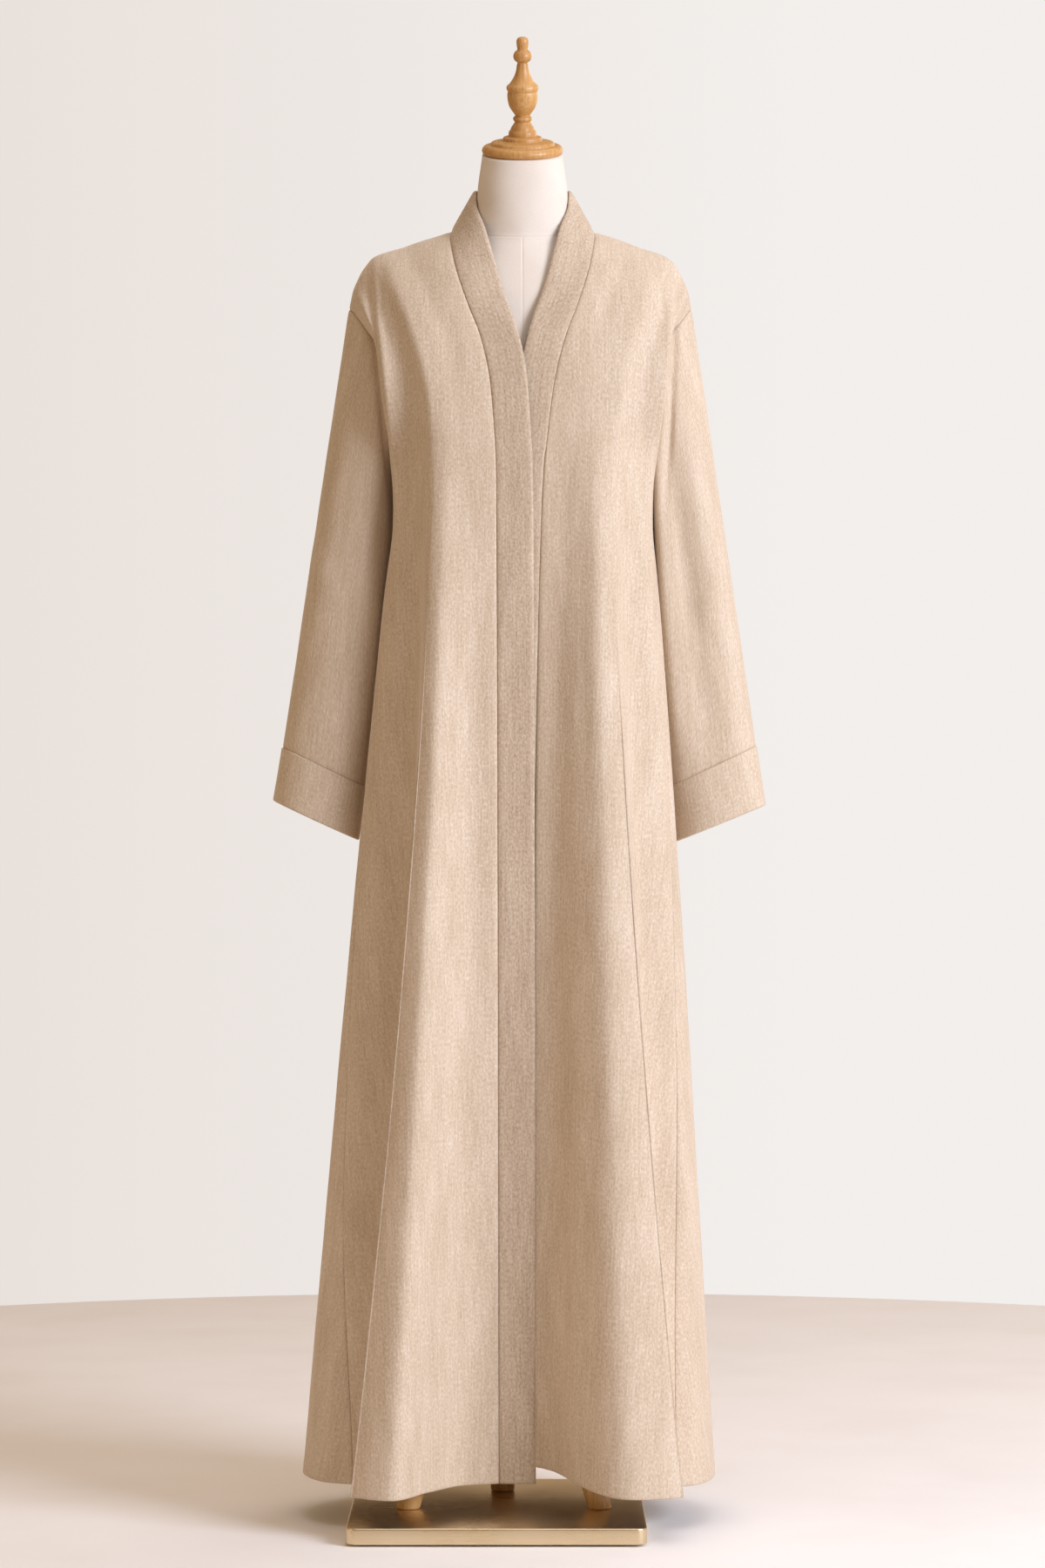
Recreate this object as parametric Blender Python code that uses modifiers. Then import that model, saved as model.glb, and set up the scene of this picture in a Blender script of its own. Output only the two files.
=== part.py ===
"""Open-front abaya cloak worn by a limbless dress form on a wooden and metal stand.

The cloak is cut cloth: two fronts, one back, two halves of the neck and front band, two
sleeves and two cuffs. Each piece is a closed wall of cloth whose edge meets its neighbour's
at a seam. +X is the viewer's right, -Y the front, +Z up, and the floor is at z = 0.
Sizes in the tables are millimetres; the meshes are metres.
"""
import math
from collections import namedtuple

import bmesh
import bpy
import numpy as np
from mathutils import Vector

MM = 0.001
RIGHT, LEFT = -1, 1  # the wearer's right hand lies at -X, the viewer's left

# Cloth
FABRIC_WALL = 2.0
BAND_WALL = 2.4
CUFF_WALL = 3.0
SEAM_GAP = 0.3
ARMHOLE_EASE = 0.45  # a sleeve starts this far from the armhole, whose walls meet at an angle
BAND_WIDTH = 40.5
LAP_OVER = 3.0  # the lapping band's free edge stands in front of the fronts
LAP_UNDER = 6.0  # the other band's free edge lies behind them
CUFF_PROUD = 1.2

# Heights of the cloak
HEM_Z = 50.0
UNDERARM_Z = 1215.0
V_POINT_Z = 1316.0
LAP_FADE_Z = 1420.0  # from here up the two bands stand apart

# Mesh steps
ROWS_BELOW = 16  # hem to underarm
ROWS_ABOVE = 8  # underarm to shoulder
FRONT_COLUMNS = 14
NECK_COLUMNS = 3
SLEEVE_ROWS = 11
CUFF_ROWS = 3

# Each row is a line that runs down the skirt from the underarm's height to the hem. x is
# measured outwards from the form's middle. The ease is the power that the fall is raised to.
FoldLine = namedtuple("FoldLine", "name top_x top_y hem_x hem_y ease_x ease_y")
FOLD_LINES = {
    RIGHT: [
        FoldLine("band_seam", 31, -118, 26.5, -79, 0.35, 1.0),
        FoldLine("inner_fall", 56, -119, 70, -95, 1.3, 1.0),
        FoldLine("flank", 70, -118, 98, -134, 1.3, 1.2),
        FoldLine("crest", 84, -117, 150, -194, 1.4, 1.3),
        FoldLine("edge", 100, -108, 187, -167, 1.47, 1.6),
        FoldLine("trough", 118, -82, 181, -93, 1.2, 1.0),
        FoldLine("turn", 129, -66, 225, -66, 0.9, 1.0),
        FoldLine("flare", 136, -50, 251, -6, 0.9, 2.5),
        FoldLine("side", 146, 2, 246, 52, 2.0, 1.5),
        FoldLine("back_side", 122, 66, 205, 118, 1.2, 1.2),
        FoldLine("back_middle", 62, 92, 110, 146, 1.2, 1.2),
        FoldLine("centre_back", 0, 97, 16, 150, 1.0, 1.2),
    ],
    LEFT: [
        FoldLine("band_seam", 27, -118, 11, -68, 0.5, 1.0),
        FoldLine("inner_fall", 54, -119, 41, -78, 1.2, 2.0),
        FoldLine("flank", 69, -118, 72, -122, 1.3, 1.2),
        FoldLine("crest", 84, -117, 136, -190, 1.4, 1.3),
        FoldLine("edge", 100, -108, 175.5, -156, 1.5, 1.6),
        FoldLine("trough", 118, -82, 173, -108, 1.1, 1.2),
        FoldLine("turn", 130, -66, 200, -82, 0.9, 1.0),
        FoldLine("flare", 138, -50, 219, -20, 0.85, 2.5),
        FoldLine("side", 146, 2, 216, 50, 2.0, 1.5),
        FoldLine("back_side", 122, 66, 180, 118, 1.2, 1.2),
        FoldLine("back_middle", 62, 92, 82, 146, 1.2, 1.2),
        FoldLine("centre_back", 0, 97, -16, 150, 1.0, 1.2),
    ],
}
SIDE_STATION = 8  # the underarm lies on the line called side
NECK_STATION = 10  # the back's neck columns lie between back_middle and centre_back
BACK_STATION = 11
# The side seam swings forward as it falls, from the side line to in front of the flare.
SideSeam = namedtuple("SideSeam", "hem_station ease")
SIDE_SEAMS = {RIGHT: SideSeam(5.35, 1.0), LEFT: SideSeam(5.25, 0.6)}
# The left front's inner fall is pulled up a little where it hangs back.
HEM_LIFT = {RIGHT: 0.0, LEFT: 19.0}
LIFT_STATION, LIFT_WIDTH = 0.5, 1.2

# Below the underarm the side falls in a little, clear of the sleeve.
DIP_DEPTH, DIP_Z, DIP_HEIGHT, DIP_WIDTH = 7.0, 1135.0, 45.0, 0.9

# Soft folds down the back, each a ridge that grows from start_z to the hem
BackFold = namedtuple("BackFold", "station width depth start_z")
BACK_FOLDS = {
    RIGHT: [BackFold(9.3, 0.42, 16, 1150), BackFold(10.35, 0.40, 15, 1250)],
    LEFT: [BackFold(9.45, 0.40, 15, 1200), BackFold(10.45, 0.38, 14, 1100)],
}

# The seam between front and band, and the band's free edge beside it, from the underarm's
# height up to the side of the neck. x is outwards; a negative edge_x is past the middle.
NeckRow = namedtuple("NeckRow", "right_x left_x seam_y seam_z right_edge left_edge edge_y edge_z")
NECK_ROWS = [
    NeckRow(31, 27, -118, 1215, -9.5, -13.5, -118, 1215),
    NeckRow(34, 32, -116.5, 1260, -6.5, -8.5, -117, 1262),
    NeckRow(38.5, 38.5, -112, 1302, -1.5, -1.5, -112.5, 1312),
    NeckRow(48, 49, -103, 1342, 8, 8, -104, 1352),
    NeckRow(62, 62.5, -92, 1379, 22, 22.5, -88, 1394),
    NeckRow(76, 76, -70, 1423, 36, 36.5, -66, 1444),
    NeckRow(81.5, 81.5, -42, 1451, 45, 45, -46, 1474),
    NeckRow(83, 83.5, -18, 1466, 58, 58, -21, 1498),
    NeckRow(82, 82, 2, 1474, 57, 57, 4, 1519),
]
NeckRing = namedtuple("NeckRing", "half_width centre_y depth side_z rise")
BACK_NECK_SEAM = NeckRing(82, 2, 76, 1474, 20)
COLLAR_EDGE = NeckRing(57, 4, 62, 1519, 9)

# Shoulder seam from the neck to the top of the armhole, x outwards
ShoulderPoint = namedtuple("ShoulderPoint", "x y z")
SHOULDER = {
    RIGHT: [
        ShoulderPoint(82, 2, 1474), ShoulderPoint(130, 6, 1459), ShoulderPoint(176, 8, 1441),
        ShoulderPoint(192, 7, 1413), ShoulderPoint(200, 4, 1384),
    ],
    LEFT: [
        ShoulderPoint(82, 2, 1474), ShoulderPoint(130, 6, 1458), ShoulderPoint(173, 8, 1439),
        ShoulderPoint(187, 7, 1412), ShoulderPoint(195, 4, 1384),
    ],
}
ARMHOLE_DEPTH = 50.0  # front and back of the underarm-to-shoulder line
ARMHOLE_CURVE = 2.6
# Centre back from the underarm's height up to the neck seam
CentreBack = namedtuple("CentreBack", "y z")
CENTRE_BACK = [
    CentreBack(97, 1215), CentreBack(100, 1300), CentreBack(98, 1380), CentreBack(91, 1440),
    CentreBack(83, 1475), CentreBack(78, 1494),
]
# The front rolls forward beside the armhole.
ROLL_DEPTH, ROLL_PLACE, ROLL_WIDTH = 11.0, 0.86, 0.11
# The back keeps its depth until it nears the shoulder, and the armhole pulls in only its edge.
BACK_FALL_POWER = 3.5
ARMHOLE_REACH_POWER = 1.7
# It stands out over the shoulder blades and rises over the form's shoulder.
BLADE_DEPTH = 9.0
SHOULDER_RISE, SHOULDER_RISE_POWER, SHOULDER_PLACE_POWER = 25.0, 2.5, 0.7

# Sleeve ends: the cuff's seam and its lower edge, each from its outer to its inner corner
CuffRing = namedtuple("CuffRing", "outer_x outer_z inner_x inner_z half_depth")
CUFF_SEAM = {RIGHT: CuffRing(276, 879, 181, 834, 47), LEFT: CuffRing(269, 881, 165, 832, 47)}
CUFF_EDGE = {RIGHT: CuffRing(286, 820, 189, 775, 49), LEFT: CuffRing(279, 815, 176, 773, 49)}
CUFF_Y = 13.0
CUFF_SQUARENESS = 2.3
# Long soft folds down a sleeve: turn is 0 at the outer side, 0.25 at the front
SleeveFold = namedtuple("SleeveFold", "turn width depth start end")
SLEEVE_FOLDS = [
    SleeveFold(0.20, 0.05, 4.0, 0.02, 0.85),
    SleeveFold(0.36, 0.08, -8.0, -0.05, 0.5),
    SleeveFold(0.70, 0.07, 4.0, 0.05, 0.9),
]

# Dress form: a row for each level. Depths are to the front and to the back of centre_y, and a
# squareness of 2 is an ellipse. The chest adds to the front's depth near the middle.
FormRow = namedtuple("FormRow", "z half_width front back centre_y squareness chest")
FORM_ROWS = [
    FormRow(800, 92, 66, 72, 4, 2.3, 0),
    FormRow(806, 118, 84, 90, 4, 2.3, 0),
    FormRow(830, 136, 92, 98, 4, 2.3, 0),
    FormRow(880, 142, 93, 99, 4, 2.3, 0),
    FormRow(960, 132, 90, 92, 2, 2.3, 0),
    FormRow(1050, 108, 80, 70, 0, 2.3, 0),
    FormRow(1130, 122, 90, 80, 0, 2.3, 0),
    FormRow(1210, 136, 103, 87, -2, 2.3, 0),
    FormRow(1260, 137, 103, 90, -2, 2.2, 0),
    FormRow(1310, 140, 99, 92, -2, 2.1, 0),
    FormRow(1360, 152, 89, 87, 0, 1.9, 0),
    FormRow(1395, 162, 75, 79, 2, 1.8, 7),
    FormRow(1420, 167, 61, 68, 4, 1.65, 15),
    FormRow(1433, 167, 48, 54, 5, 1.45, 23),
    FormRow(1439.4, 163, 40, 44, 6, 1.3, 29),
    FormRow(1446.4, 149, 35, 40, 6, 1.15, 31),
    FormRow(1456.6, 127, 34, 40, 6, 1.1, 28),
    FormRow(1464.1, 104, 36, 42, 5, 1.15, 22),
    FormRow(1470, 80, 41, 48, 2, 1.3, 12),
    FormRow(1480, 60, 45, 53, -1, 1.8, 4),
    FormRow(1495, 53.5, 48, 53, -2, 2.1, 0),
    FormRow(1520, 52.2, 50, 50, -5, 2.2, 0),
    FormRow(1560, 46.5, 46, 46, -9, 2.1, 0),
]
FORM_SIDES = 28
CHEST_WIDTH = 45.0
NAPE_SHARE = 0.7  # the back's middle stands out by this share of the chest's amount
NECK_TILT = 12.0  # degrees that the neck's top leans forward
TILT_START_Z = 1475.0

# Turned pieces on the neck: radius and height along the leaning axis
TurnPoint = namedtuple("TurnPoint", "radius height")
CAP_PROFILE = [
    TurnPoint(0, 20.8), TurnPoint(20.5, 20.8), TurnPoint(22.2, 19.5), TurnPoint(22.4, 17.2),
    TurnPoint(24, 16.5), TurnPoint(33, 15.8), TurnPoint(36.5, 14), TurnPoint(36.8, 11),
    TurnPoint(41, 10.5), TurnPoint(45, 9), TurnPoint(46.8, 5), TurnPoint(46.5, 3.5),
    TurnPoint(43, 0.3), TurnPoint(0, 0.3),
]
FINIAL_PROFILE = [
    TurnPoint(0, 136), TurnPoint(5, 135), TurnPoint(6.5, 131), TurnPoint(6.5, 123),
    TurnPoint(8.5, 118.6), TurnPoint(10.2, 112.5), TurnPoint(6.5, 106), TurnPoint(6.5, 101),
    TurnPoint(9, 90), TurnPoint(11, 86), TurnPoint(15, 81.5), TurnPoint(18.2, 77),
    TurnPoint(18.2, 74), TurnPoint(17, 69.5), TurnPoint(16, 61), TurnPoint(14, 53),
    TurnPoint(9, 45.5), TurnPoint(10.5, 41), TurnPoint(8, 37), TurnPoint(11, 33),
    TurnPoint(14.5, 26.5), TurnPoint(16, 23), TurnPoint(16, 21.1), TurnPoint(0, 21.1),
]
TURN_STEPS = 24

# Stand
STAND_X, STAND_Y = -22.0, -20.0
POLE_RADIUS = 14.0
HUB_BOTTOM_Z, HUB_TOP_Z, HUB_RADIUS = 430.0, 470.0, 42.0
LEG_RADIUS = 14.0
LEG_TOP_REACH = 24.0  # from the stand's axis to a leg's top
LEG_CURVE = 1.3
LegFoot = namedtuple("LegFoot", "name x y")
LEG_FEET = [LegFoot("leg_right", -129, -71), LegFoot("leg_left", 87, -71), LegFoot("leg_back", -23, 50)]
PLATE_X, PLATE_Y = -28.5, -35.0
PLATE_WIDTH, PLATE_DEPTH = 331.0, 330.0
PAD_HEIGHT, PAD_RADIUS = 2.0, 9.0
PLATE_BOTTOM_Z, PLATE_TOP_Z = 2.3, 20.5
PLATE_CORNER = 12.0
PAD_INSET = 24.0

Finish = namedtuple("Finish", "colour roughness metallic")
FINISHES = {
    "abaya_cloth": Finish((0.62, 0.50, 0.38), 0.9, 0.0),
    "band_cloth": Finish((0.56, 0.43, 0.30), 0.9, 0.0),
    "form_jersey": Finish((0.80, 0.72, 0.63), 0.85, 0.0),
    "turned_wood": Finish((0.60, 0.32, 0.11), 0.45, 0.0),
    "plate_metal": Finish((0.50, 0.36, 0.22), 0.35, 1.0),
    "pad_rubber": Finish((0.05, 0.05, 0.05), 0.8, 0.0),
}


def clear_scene():
    """Remove every object of the open scene."""
    for thing in list(bpy.data.objects):
        bpy.data.objects.remove(thing, do_unlink=True)


def make_collection(name):
    """Add the collection that holds the parts."""
    collection = bpy.data.collections.new(name)
    bpy.context.scene.collection.children.link(collection)
    return collection


def make_material(name, finish):
    """Add a Principled material with one colour, roughness and metallic value."""
    material = bpy.data.materials.new(name)
    material.use_nodes = True
    shader = material.node_tree.nodes["Principled BSDF"]
    shader.inputs["Base Color"].default_value = (*finish.colour, 1.0)
    shader.inputs["Roughness"].default_value = finish.roughness
    shader.inputs["Metallic"].default_value = finish.metallic
    return material


def add_object(name, mesh, finish_name):
    """Link a mesh as a smooth-shaded object with a material of its own."""
    thing = bpy.data.objects.new(name, mesh)
    thing.data.materials.append(make_material(name + "_finish", FINISHES[finish_name]))
    PARTS.objects.link(thing)
    thing.data.shade_smooth()
    return thing


def spline(points, at):
    """Read a smooth curve through points (n, d) at positions from 0 to n - 1."""
    points = np.asarray(points, dtype=float)
    return spline_grid(points[None], np.asarray(at, dtype=float)[None])[0]


def spline_grid(points, at, level_end=False):
    """Read one smooth curve for each row: points (rows, n, d), at (rows, m), by chord length."""
    steps = np.linalg.norm(np.diff(points, axis=1), axis=2) + 1e-9
    slopes = np.diff(points, axis=1) / steps[..., None]
    before, after = steps[:, :-1, None], steps[:, 1:, None]
    middle = (slopes[:, :-1] * after + slopes[:, 1:] * before) / (before + after)
    last = slopes[:, -1:].copy()
    if level_end:
        last[..., 1:] = 0.0
    tangents = np.concatenate([slopes[:, :1], middle, last], axis=1)
    low = np.clip(np.floor(at).astype(int), 0, points.shape[1] - 2)
    part = (at - low)[..., None]
    row = np.arange(points.shape[0])[:, None]
    step = steps[row, low][..., None]
    start, end = points[row, low], points[row, low + 1]
    leave, arrive = tangents[row, low] * step, tangents[row, low + 1] * step
    return (
        (2 * part**3 - 3 * part**2 + 1) * start + (part**3 - 2 * part**2 + part) * leave
        + (3 * part**2 - 2 * part**3) * end + (part**3 - part**2) * arrive
    )


def even_positions(points, count):
    """Give count + 1 positions on the curve through points, evenly spaced by length."""
    fine = np.linspace(0, len(points) - 1, 200)
    track = spline(points, fine)
    length = np.concatenate([[0], np.cumsum(np.linalg.norm(np.diff(track, axis=0), axis=1))])
    return np.interp(np.linspace(0, length[-1], count + 1), length, fine)


def bump(value, centre, width):
    """A soft ridge of height 1 at centre that has died out at twice its width."""
    return np.exp(-(((value - centre) / width) ** 2))


def skirt(side, z, station):
    """Points of one half of the cloak below the underarm, at heights z on fold stations."""
    fall = np.clip((UNDERARM_Z - z) / (UNDERARM_Z - HEM_Z), 0, 1)
    lines = FOLD_LINES[side]
    rows, columns = station.shape
    tops = np.array([(line.top_x, line.top_y) for line in lines])
    hems = np.array([(line.hem_x, line.hem_y) for line in lines])
    eases = np.array([(line.ease_x, line.ease_y) for line in lines])
    flat_fall = fall.reshape(-1, 1, 1)
    knots = tops + (hems - tops) * flat_fall**eases
    flat = spline_grid(knots, station.reshape(-1, 1), level_end=True)[:, 0]
    plan = flat.reshape(rows, columns, 2)
    for fold in BACK_FOLDS[side]:
        growth = np.clip((fold.start_z - z) / (fold.start_z - HEM_Z), 0, 1) ** 1.2
        plan[..., 1] += fold.depth * growth * bump(station, fold.station, fold.width)
    plan[..., 0] -= DIP_DEPTH * bump(z, DIP_Z, DIP_HEIGHT) * bump(station, SIDE_STATION, DIP_WIDTH)
    return np.dstack([side * plan[..., 0], plan[..., 1], z])


def armhole(side, back, count):
    """Points up the front or back half of an armhole, underarm first."""
    top = SHOULDER[side][-1]
    low = FOLD_LINES[side][SIDE_STATION]
    angle = math.pi * (1 - np.arange(count + 1) / count)
    rise = (1 + np.cos(angle)) / 2
    x = low.top_x + (top.x - low.top_x) * rise**ARMHOLE_CURVE
    y = low.top_y + (top.y - low.top_y) * rise + (1 if back else -1) * ARMHOLE_DEPTH * np.sin(angle)
    z = UNDERARM_Z + (top.z - UNDERARM_Z) * rise
    return np.stack([side * x, y, z], axis=1)


def neck_seam(side, count):
    """The seam between front and band, from the underarm's height to the side of the neck."""
    seam = [(row.right_x if side == RIGHT else row.left_x, row.seam_y, row.seam_z) for row in NECK_ROWS]
    at = even_positions(seam, count)
    return spline(seam, at) * (side, 1, 1)


def neck_edge(side, count):
    """The band's free edge beside each point of the neck seam."""
    seam = [(row.right_x if side == RIGHT else row.left_x, row.seam_y, row.seam_z) for row in NECK_ROWS]
    edge = [(row.right_edge if side == RIGHT else row.left_edge, row.edge_y, row.edge_z) for row in NECK_ROWS]
    return spline(edge, even_positions(seam, count)) * (side, 1, 1)


def neck_ring(ring, side, count):
    """Points round the back of the neck, from its side to the centre back."""
    angle = np.arange(count + 1) / count * math.pi / 2
    x = side * ring.half_width * np.cos(angle)
    y = ring.centre_y + ring.depth * np.sin(angle)
    z = ring.side_z + ring.rise * np.sin(angle)
    return np.stack([x, y, z], axis=1)


def shoulder_seam(side, count):
    """Points from the neck down the shoulder to the top of the armhole."""
    points = SHOULDER[side]
    return spline(points, even_positions(points, count)) * (side, 1, 1)


def upper_patch(bottom, top, inner, outer, fall_power=1.0, reach_power=1.0):
    """Fill the space between four boundary lines; rows run up and columns run outwards."""
    up = np.linspace(0, 1, len(inner))[:, None, None]
    climb = np.concatenate([up, up**fall_power, up], axis=2)
    across = np.linspace(0, 1, len(bottom))[None, :, None]
    ruled = (1 - climb) * bottom[None] + climb * top[None]
    inner_bend = inner[:, None] - ((1 - climb) * inner[0] + climb * inner[-1])
    outer_bend = outer[:, None] - ((1 - climb) * outer[0] + climb * outer[-1])
    return ruled + (1 - across) * inner_bend + across**reach_power * outer_bend


def soften_rows(grid, first, last, passes):
    """Even out the rows first to last, leaving the outer columns as they are."""
    for _ in range(passes):
        middle = (grid[first - 1:last - 1, 1:-1] + grid[first + 1:last + 1, 1:-1]) / 2
        grid[first:last, 1:-1] = (grid[first:last, 1:-1] + middle) / 2
    return grid


def skirt_heights(side, station):
    """Heights of the skirt's rows from the hem to the underarm, at each fold station."""
    lift = HEM_LIFT[side] * bump(station[0], LIFT_STATION, LIFT_WIDTH)
    climb = np.linspace(0, 1, ROWS_BELOW + 1)[:, None]
    return (HEM_Z + lift) * (1 - climb) + UNDERARM_Z * climb


def side_seam_station(side):
    """The side seam's fold station at each row of the skirt, hem first."""
    seam = SIDE_SEAMS[side]
    fall = np.linspace(1, 0, ROWS_BELOW + 1)
    return SIDE_STATION + (seam.hem_station - SIDE_STATION) * fall**seam.ease


def front_panel(side):
    """Grid of a front, rows from hem to shoulder, columns from the band seam outwards."""
    spread = np.linspace(0, 1, FRONT_COLUMNS + 1)
    station = side_seam_station(side)[:, None] * spread[None]
    low = skirt(side, skirt_heights(side, station), station)
    high = upper_patch(
        low[-1], shoulder_seam(side, FRONT_COLUMNS), neck_seam(side, ROWS_ABOVE),
        armhole(side, False, ROWS_ABOVE),
    )
    rise = np.linspace(0, 1, ROWS_ABOVE + 1)[:, None]
    roll = ROLL_DEPTH * bump(spread[None], ROLL_PLACE, ROLL_WIDTH) * np.sin(math.pi * rise) ** 0.7
    high[..., 1] -= roll * (1 - spread[None] ** 12)
    grid = np.concatenate([low, high[1:]])
    return soften_rows(grid, ROWS_BELOW - 1, ROWS_BELOW + 3, 2)


def back_half(side):
    """Grid of half the back, rows from hem to shoulder, columns from the centre outwards."""
    neck = np.linspace(BACK_STATION, NECK_STATION, NECK_COLUMNS + 1)
    rest = np.linspace(0, 1, FRONT_COLUMNS + 1)[1:]
    seam = side_seam_station(side)[:, None]
    station = np.concatenate(
        [np.repeat(neck[None], len(seam), axis=0), NECK_STATION + (seam - NECK_STATION) * rest], axis=1
    )
    low = skirt(side, skirt_heights(side, station), station)
    ring = neck_ring(BACK_NECK_SEAM, side, NECK_COLUMNS)[::-1]
    top = np.concatenate([ring, shoulder_seam(side, FRONT_COLUMNS)[1:]])
    centre = [(0, row.y, row.z) for row in CENTRE_BACK]
    middle = spline(centre, even_positions(centre, ROWS_ABOVE))
    high = upper_patch(
        low[-1], top, middle, armhole(side, True, ROWS_ABOVE), BACK_FALL_POWER, ARMHOLE_REACH_POWER
    )
    rise = np.linspace(0, 1, ROWS_ABOVE + 1)[:, None]
    across = np.linspace(0, 1, high.shape[1])[None]
    high[..., 1] += BLADE_DEPTH * np.sin(math.pi * across) * np.sin(math.pi * rise)
    over = np.sin(math.pi * across**SHOULDER_PLACE_POWER)
    high[..., 2] += SHOULDER_RISE * over * np.sin(math.pi * rise**SHOULDER_RISE_POWER)
    grid = np.concatenate([low, high[1:]])
    return soften_rows(grid, ROWS_BELOW - 1, ROWS_BELOW + 3, 2)


def band_half(side, front):
    """Grid of half the band, rows along its seam from hem to centre back, three columns across."""
    seam = np.concatenate([front[:, 0], neck_ring(BACK_NECK_SEAM, side, NECK_COLUMNS)[1:]])
    low_edge = front[:ROWS_BELOW, 0] - np.array([side * BAND_WIDTH, 0, 0])
    edge = np.concatenate(
        [low_edge, neck_edge(side, ROWS_ABOVE), neck_ring(COLLAR_EDGE, side, NECK_COLUMNS)[1:]]
    )
    lap = -LAP_OVER if side == RIGHT else LAP_UNDER
    fade = np.clip((LAP_FADE_Z - edge[:, 2]) / (LAP_FADE_Z - V_POINT_Z), 0, 1)
    edge[:, 1] += lap * fade
    middle = (seam + edge) / 2
    return np.stack([seam, middle, edge], axis=1)


def cuff_ring(ring, side, count):
    """Points round a sleeve end, from its outer corner by the front to its inner corner."""
    turn = np.arange(count) / count * 2 * math.pi
    power = 2 / CUFF_SQUARENESS
    along = np.sign(np.cos(turn)) * np.abs(np.cos(turn)) ** power
    ahead = np.sign(np.sin(turn)) * np.abs(np.sin(turn)) ** power
    x = (ring.outer_x + ring.inner_x) / 2 + (ring.outer_x - ring.inner_x) / 2 * along
    z = (ring.outer_z + ring.inner_z) / 2 + (ring.outer_z - ring.inner_z) / 2 * along
    return np.stack([side * x, CUFF_Y - ring.half_depth * ahead, z], axis=1)


def sleeve_tube(side, front_line, back_line):
    """Grid of a sleeve from the armhole down to the cuff's seam, columns round it."""
    start = np.concatenate([front_line[::-1], back_line[1:-1]])
    end = cuff_ring(CUFF_SEAM[side], side, len(start))
    down = np.linspace(0, 1, SLEEVE_ROWS + 1)[:, None, None]
    grid = start[None] * (1 - down) + end[None] * down
    outward = grid - grid.mean(axis=1, keepdims=True)
    outward[..., 2] = 0
    outward /= np.linalg.norm(outward, axis=2, keepdims=True)
    turn = (np.arange(len(start)) / len(start))[None, :]
    for fold in SLEEVE_FOLDS:
        run = np.clip((down[..., 0] - fold.start) / (fold.end - fold.start), 0, 1)
        depth = fold.depth * np.sin(math.pi * run) * bump(turn, fold.turn, fold.width)
        grid += outward * depth[..., None]
    return grid


def cuff_tube(side, count):
    """Grid of a cuff from its seam to its lower edge."""
    start, end = cuff_ring(CUFF_SEAM[side], side, count), cuff_ring(CUFF_EDGE[side], side, count)
    down = np.linspace(0, 1, CUFF_ROWS + 1)[:, None, None]
    grid = start[None] * (1 - down) + end[None] * down
    outward = grid - grid.mean(axis=1, keepdims=True)
    outward /= np.linalg.norm(outward, axis=2, keepdims=True)
    return grid + outward * CUFF_PROUD


def lay_in_plane(normals, ring):
    """Turn a flat ring's normals into its own plane, so that a wall ends square to the seam."""
    quarter = len(ring) // 4
    axis = np.cross(ring[0] - ring[2 * quarter], ring[quarter] - ring[3 * quarter])
    axis /= np.linalg.norm(axis)
    flat = normals - (normals @ axis)[:, None] * axis
    return flat / np.linalg.norm(flat, axis=1, keepdims=True)


def grid_normals(grid, round_tube=False):
    """Unit normals of a grid from its neighbours' places."""
    along = np.gradient(grid, axis=0)
    if round_tube:
        across = (np.roll(grid, -1, axis=1) - np.roll(grid, 1, axis=1)) / 2
    else:
        across = np.gradient(grid, axis=1)
    normal = np.cross(across, along)
    return normal / np.linalg.norm(normal, axis=2, keepdims=True)


def units(vectors):
    """Scale vectors to unit length."""
    return vectors / np.linalg.norm(vectors, axis=-1, keepdims=True)


def share(normals_a, place_a, normals_b, place_b, lean=0.0):
    """Give two pieces one normal along the seam where they meet, leaning into a sharp crease."""
    total = units(normals_a[place_a] + normals_b[place_b] + lean)
    normals_a[place_a] = total
    normals_b[place_b] = total


def draw_back(grid, axis, end, amount):
    """Move a grid's edge towards the line beside it, to leave half of a seam's gap."""
    edge, beside = (0, 1) if end == "first" else (-1, -2)
    lines = np.swapaxes(grid, 0, 1) if axis == 1 else grid
    step = lines[beside] - lines[edge]
    lines[edge] += step / np.linalg.norm(step, axis=1, keepdims=True) * amount


def cloth_wall(name, outer, normals, thickness, finish_name, round_tube=False):
    """Make a closed wall of cloth from its outer grid and the normals that point outwards."""
    rows, columns = outer.shape[:2]
    inner = outer - normals * thickness
    mesh = bmesh.new()
    skins = []
    for grid in (outer, inner):
        skins.append([[mesh.verts.new(Vector(point) * MM) for point in line] for line in grid])
    around = columns if round_tube else columns - 1
    for i in range(rows - 1):
        for j in range(around):
            k = (j + 1) % columns
            mesh.faces.new((skins[0][i][j], skins[0][i][k], skins[0][i + 1][k], skins[0][i + 1][j]))
            mesh.faces.new((skins[1][i][j], skins[1][i + 1][j], skins[1][i + 1][k], skins[1][i][k]))
    for j in range(around):
        k = (j + 1) % columns
        for i in (0, rows - 1):
            mesh.faces.new((skins[0][i][j], skins[0][i][k], skins[1][i][k], skins[1][i][j]))
    if not round_tube:
        for i in range(rows - 1):
            for j in (0, columns - 1):
                mesh.faces.new((skins[0][i][j], skins[0][i + 1][j], skins[1][i + 1][j], skins[1][i][j]))
    bmesh.ops.recalc_face_normals(mesh, faces=mesh.faces)
    data = bpy.data.meshes.new(name)
    mesh.to_mesh(data)
    mesh.free()
    return add_object(name, data, finish_name)


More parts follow.
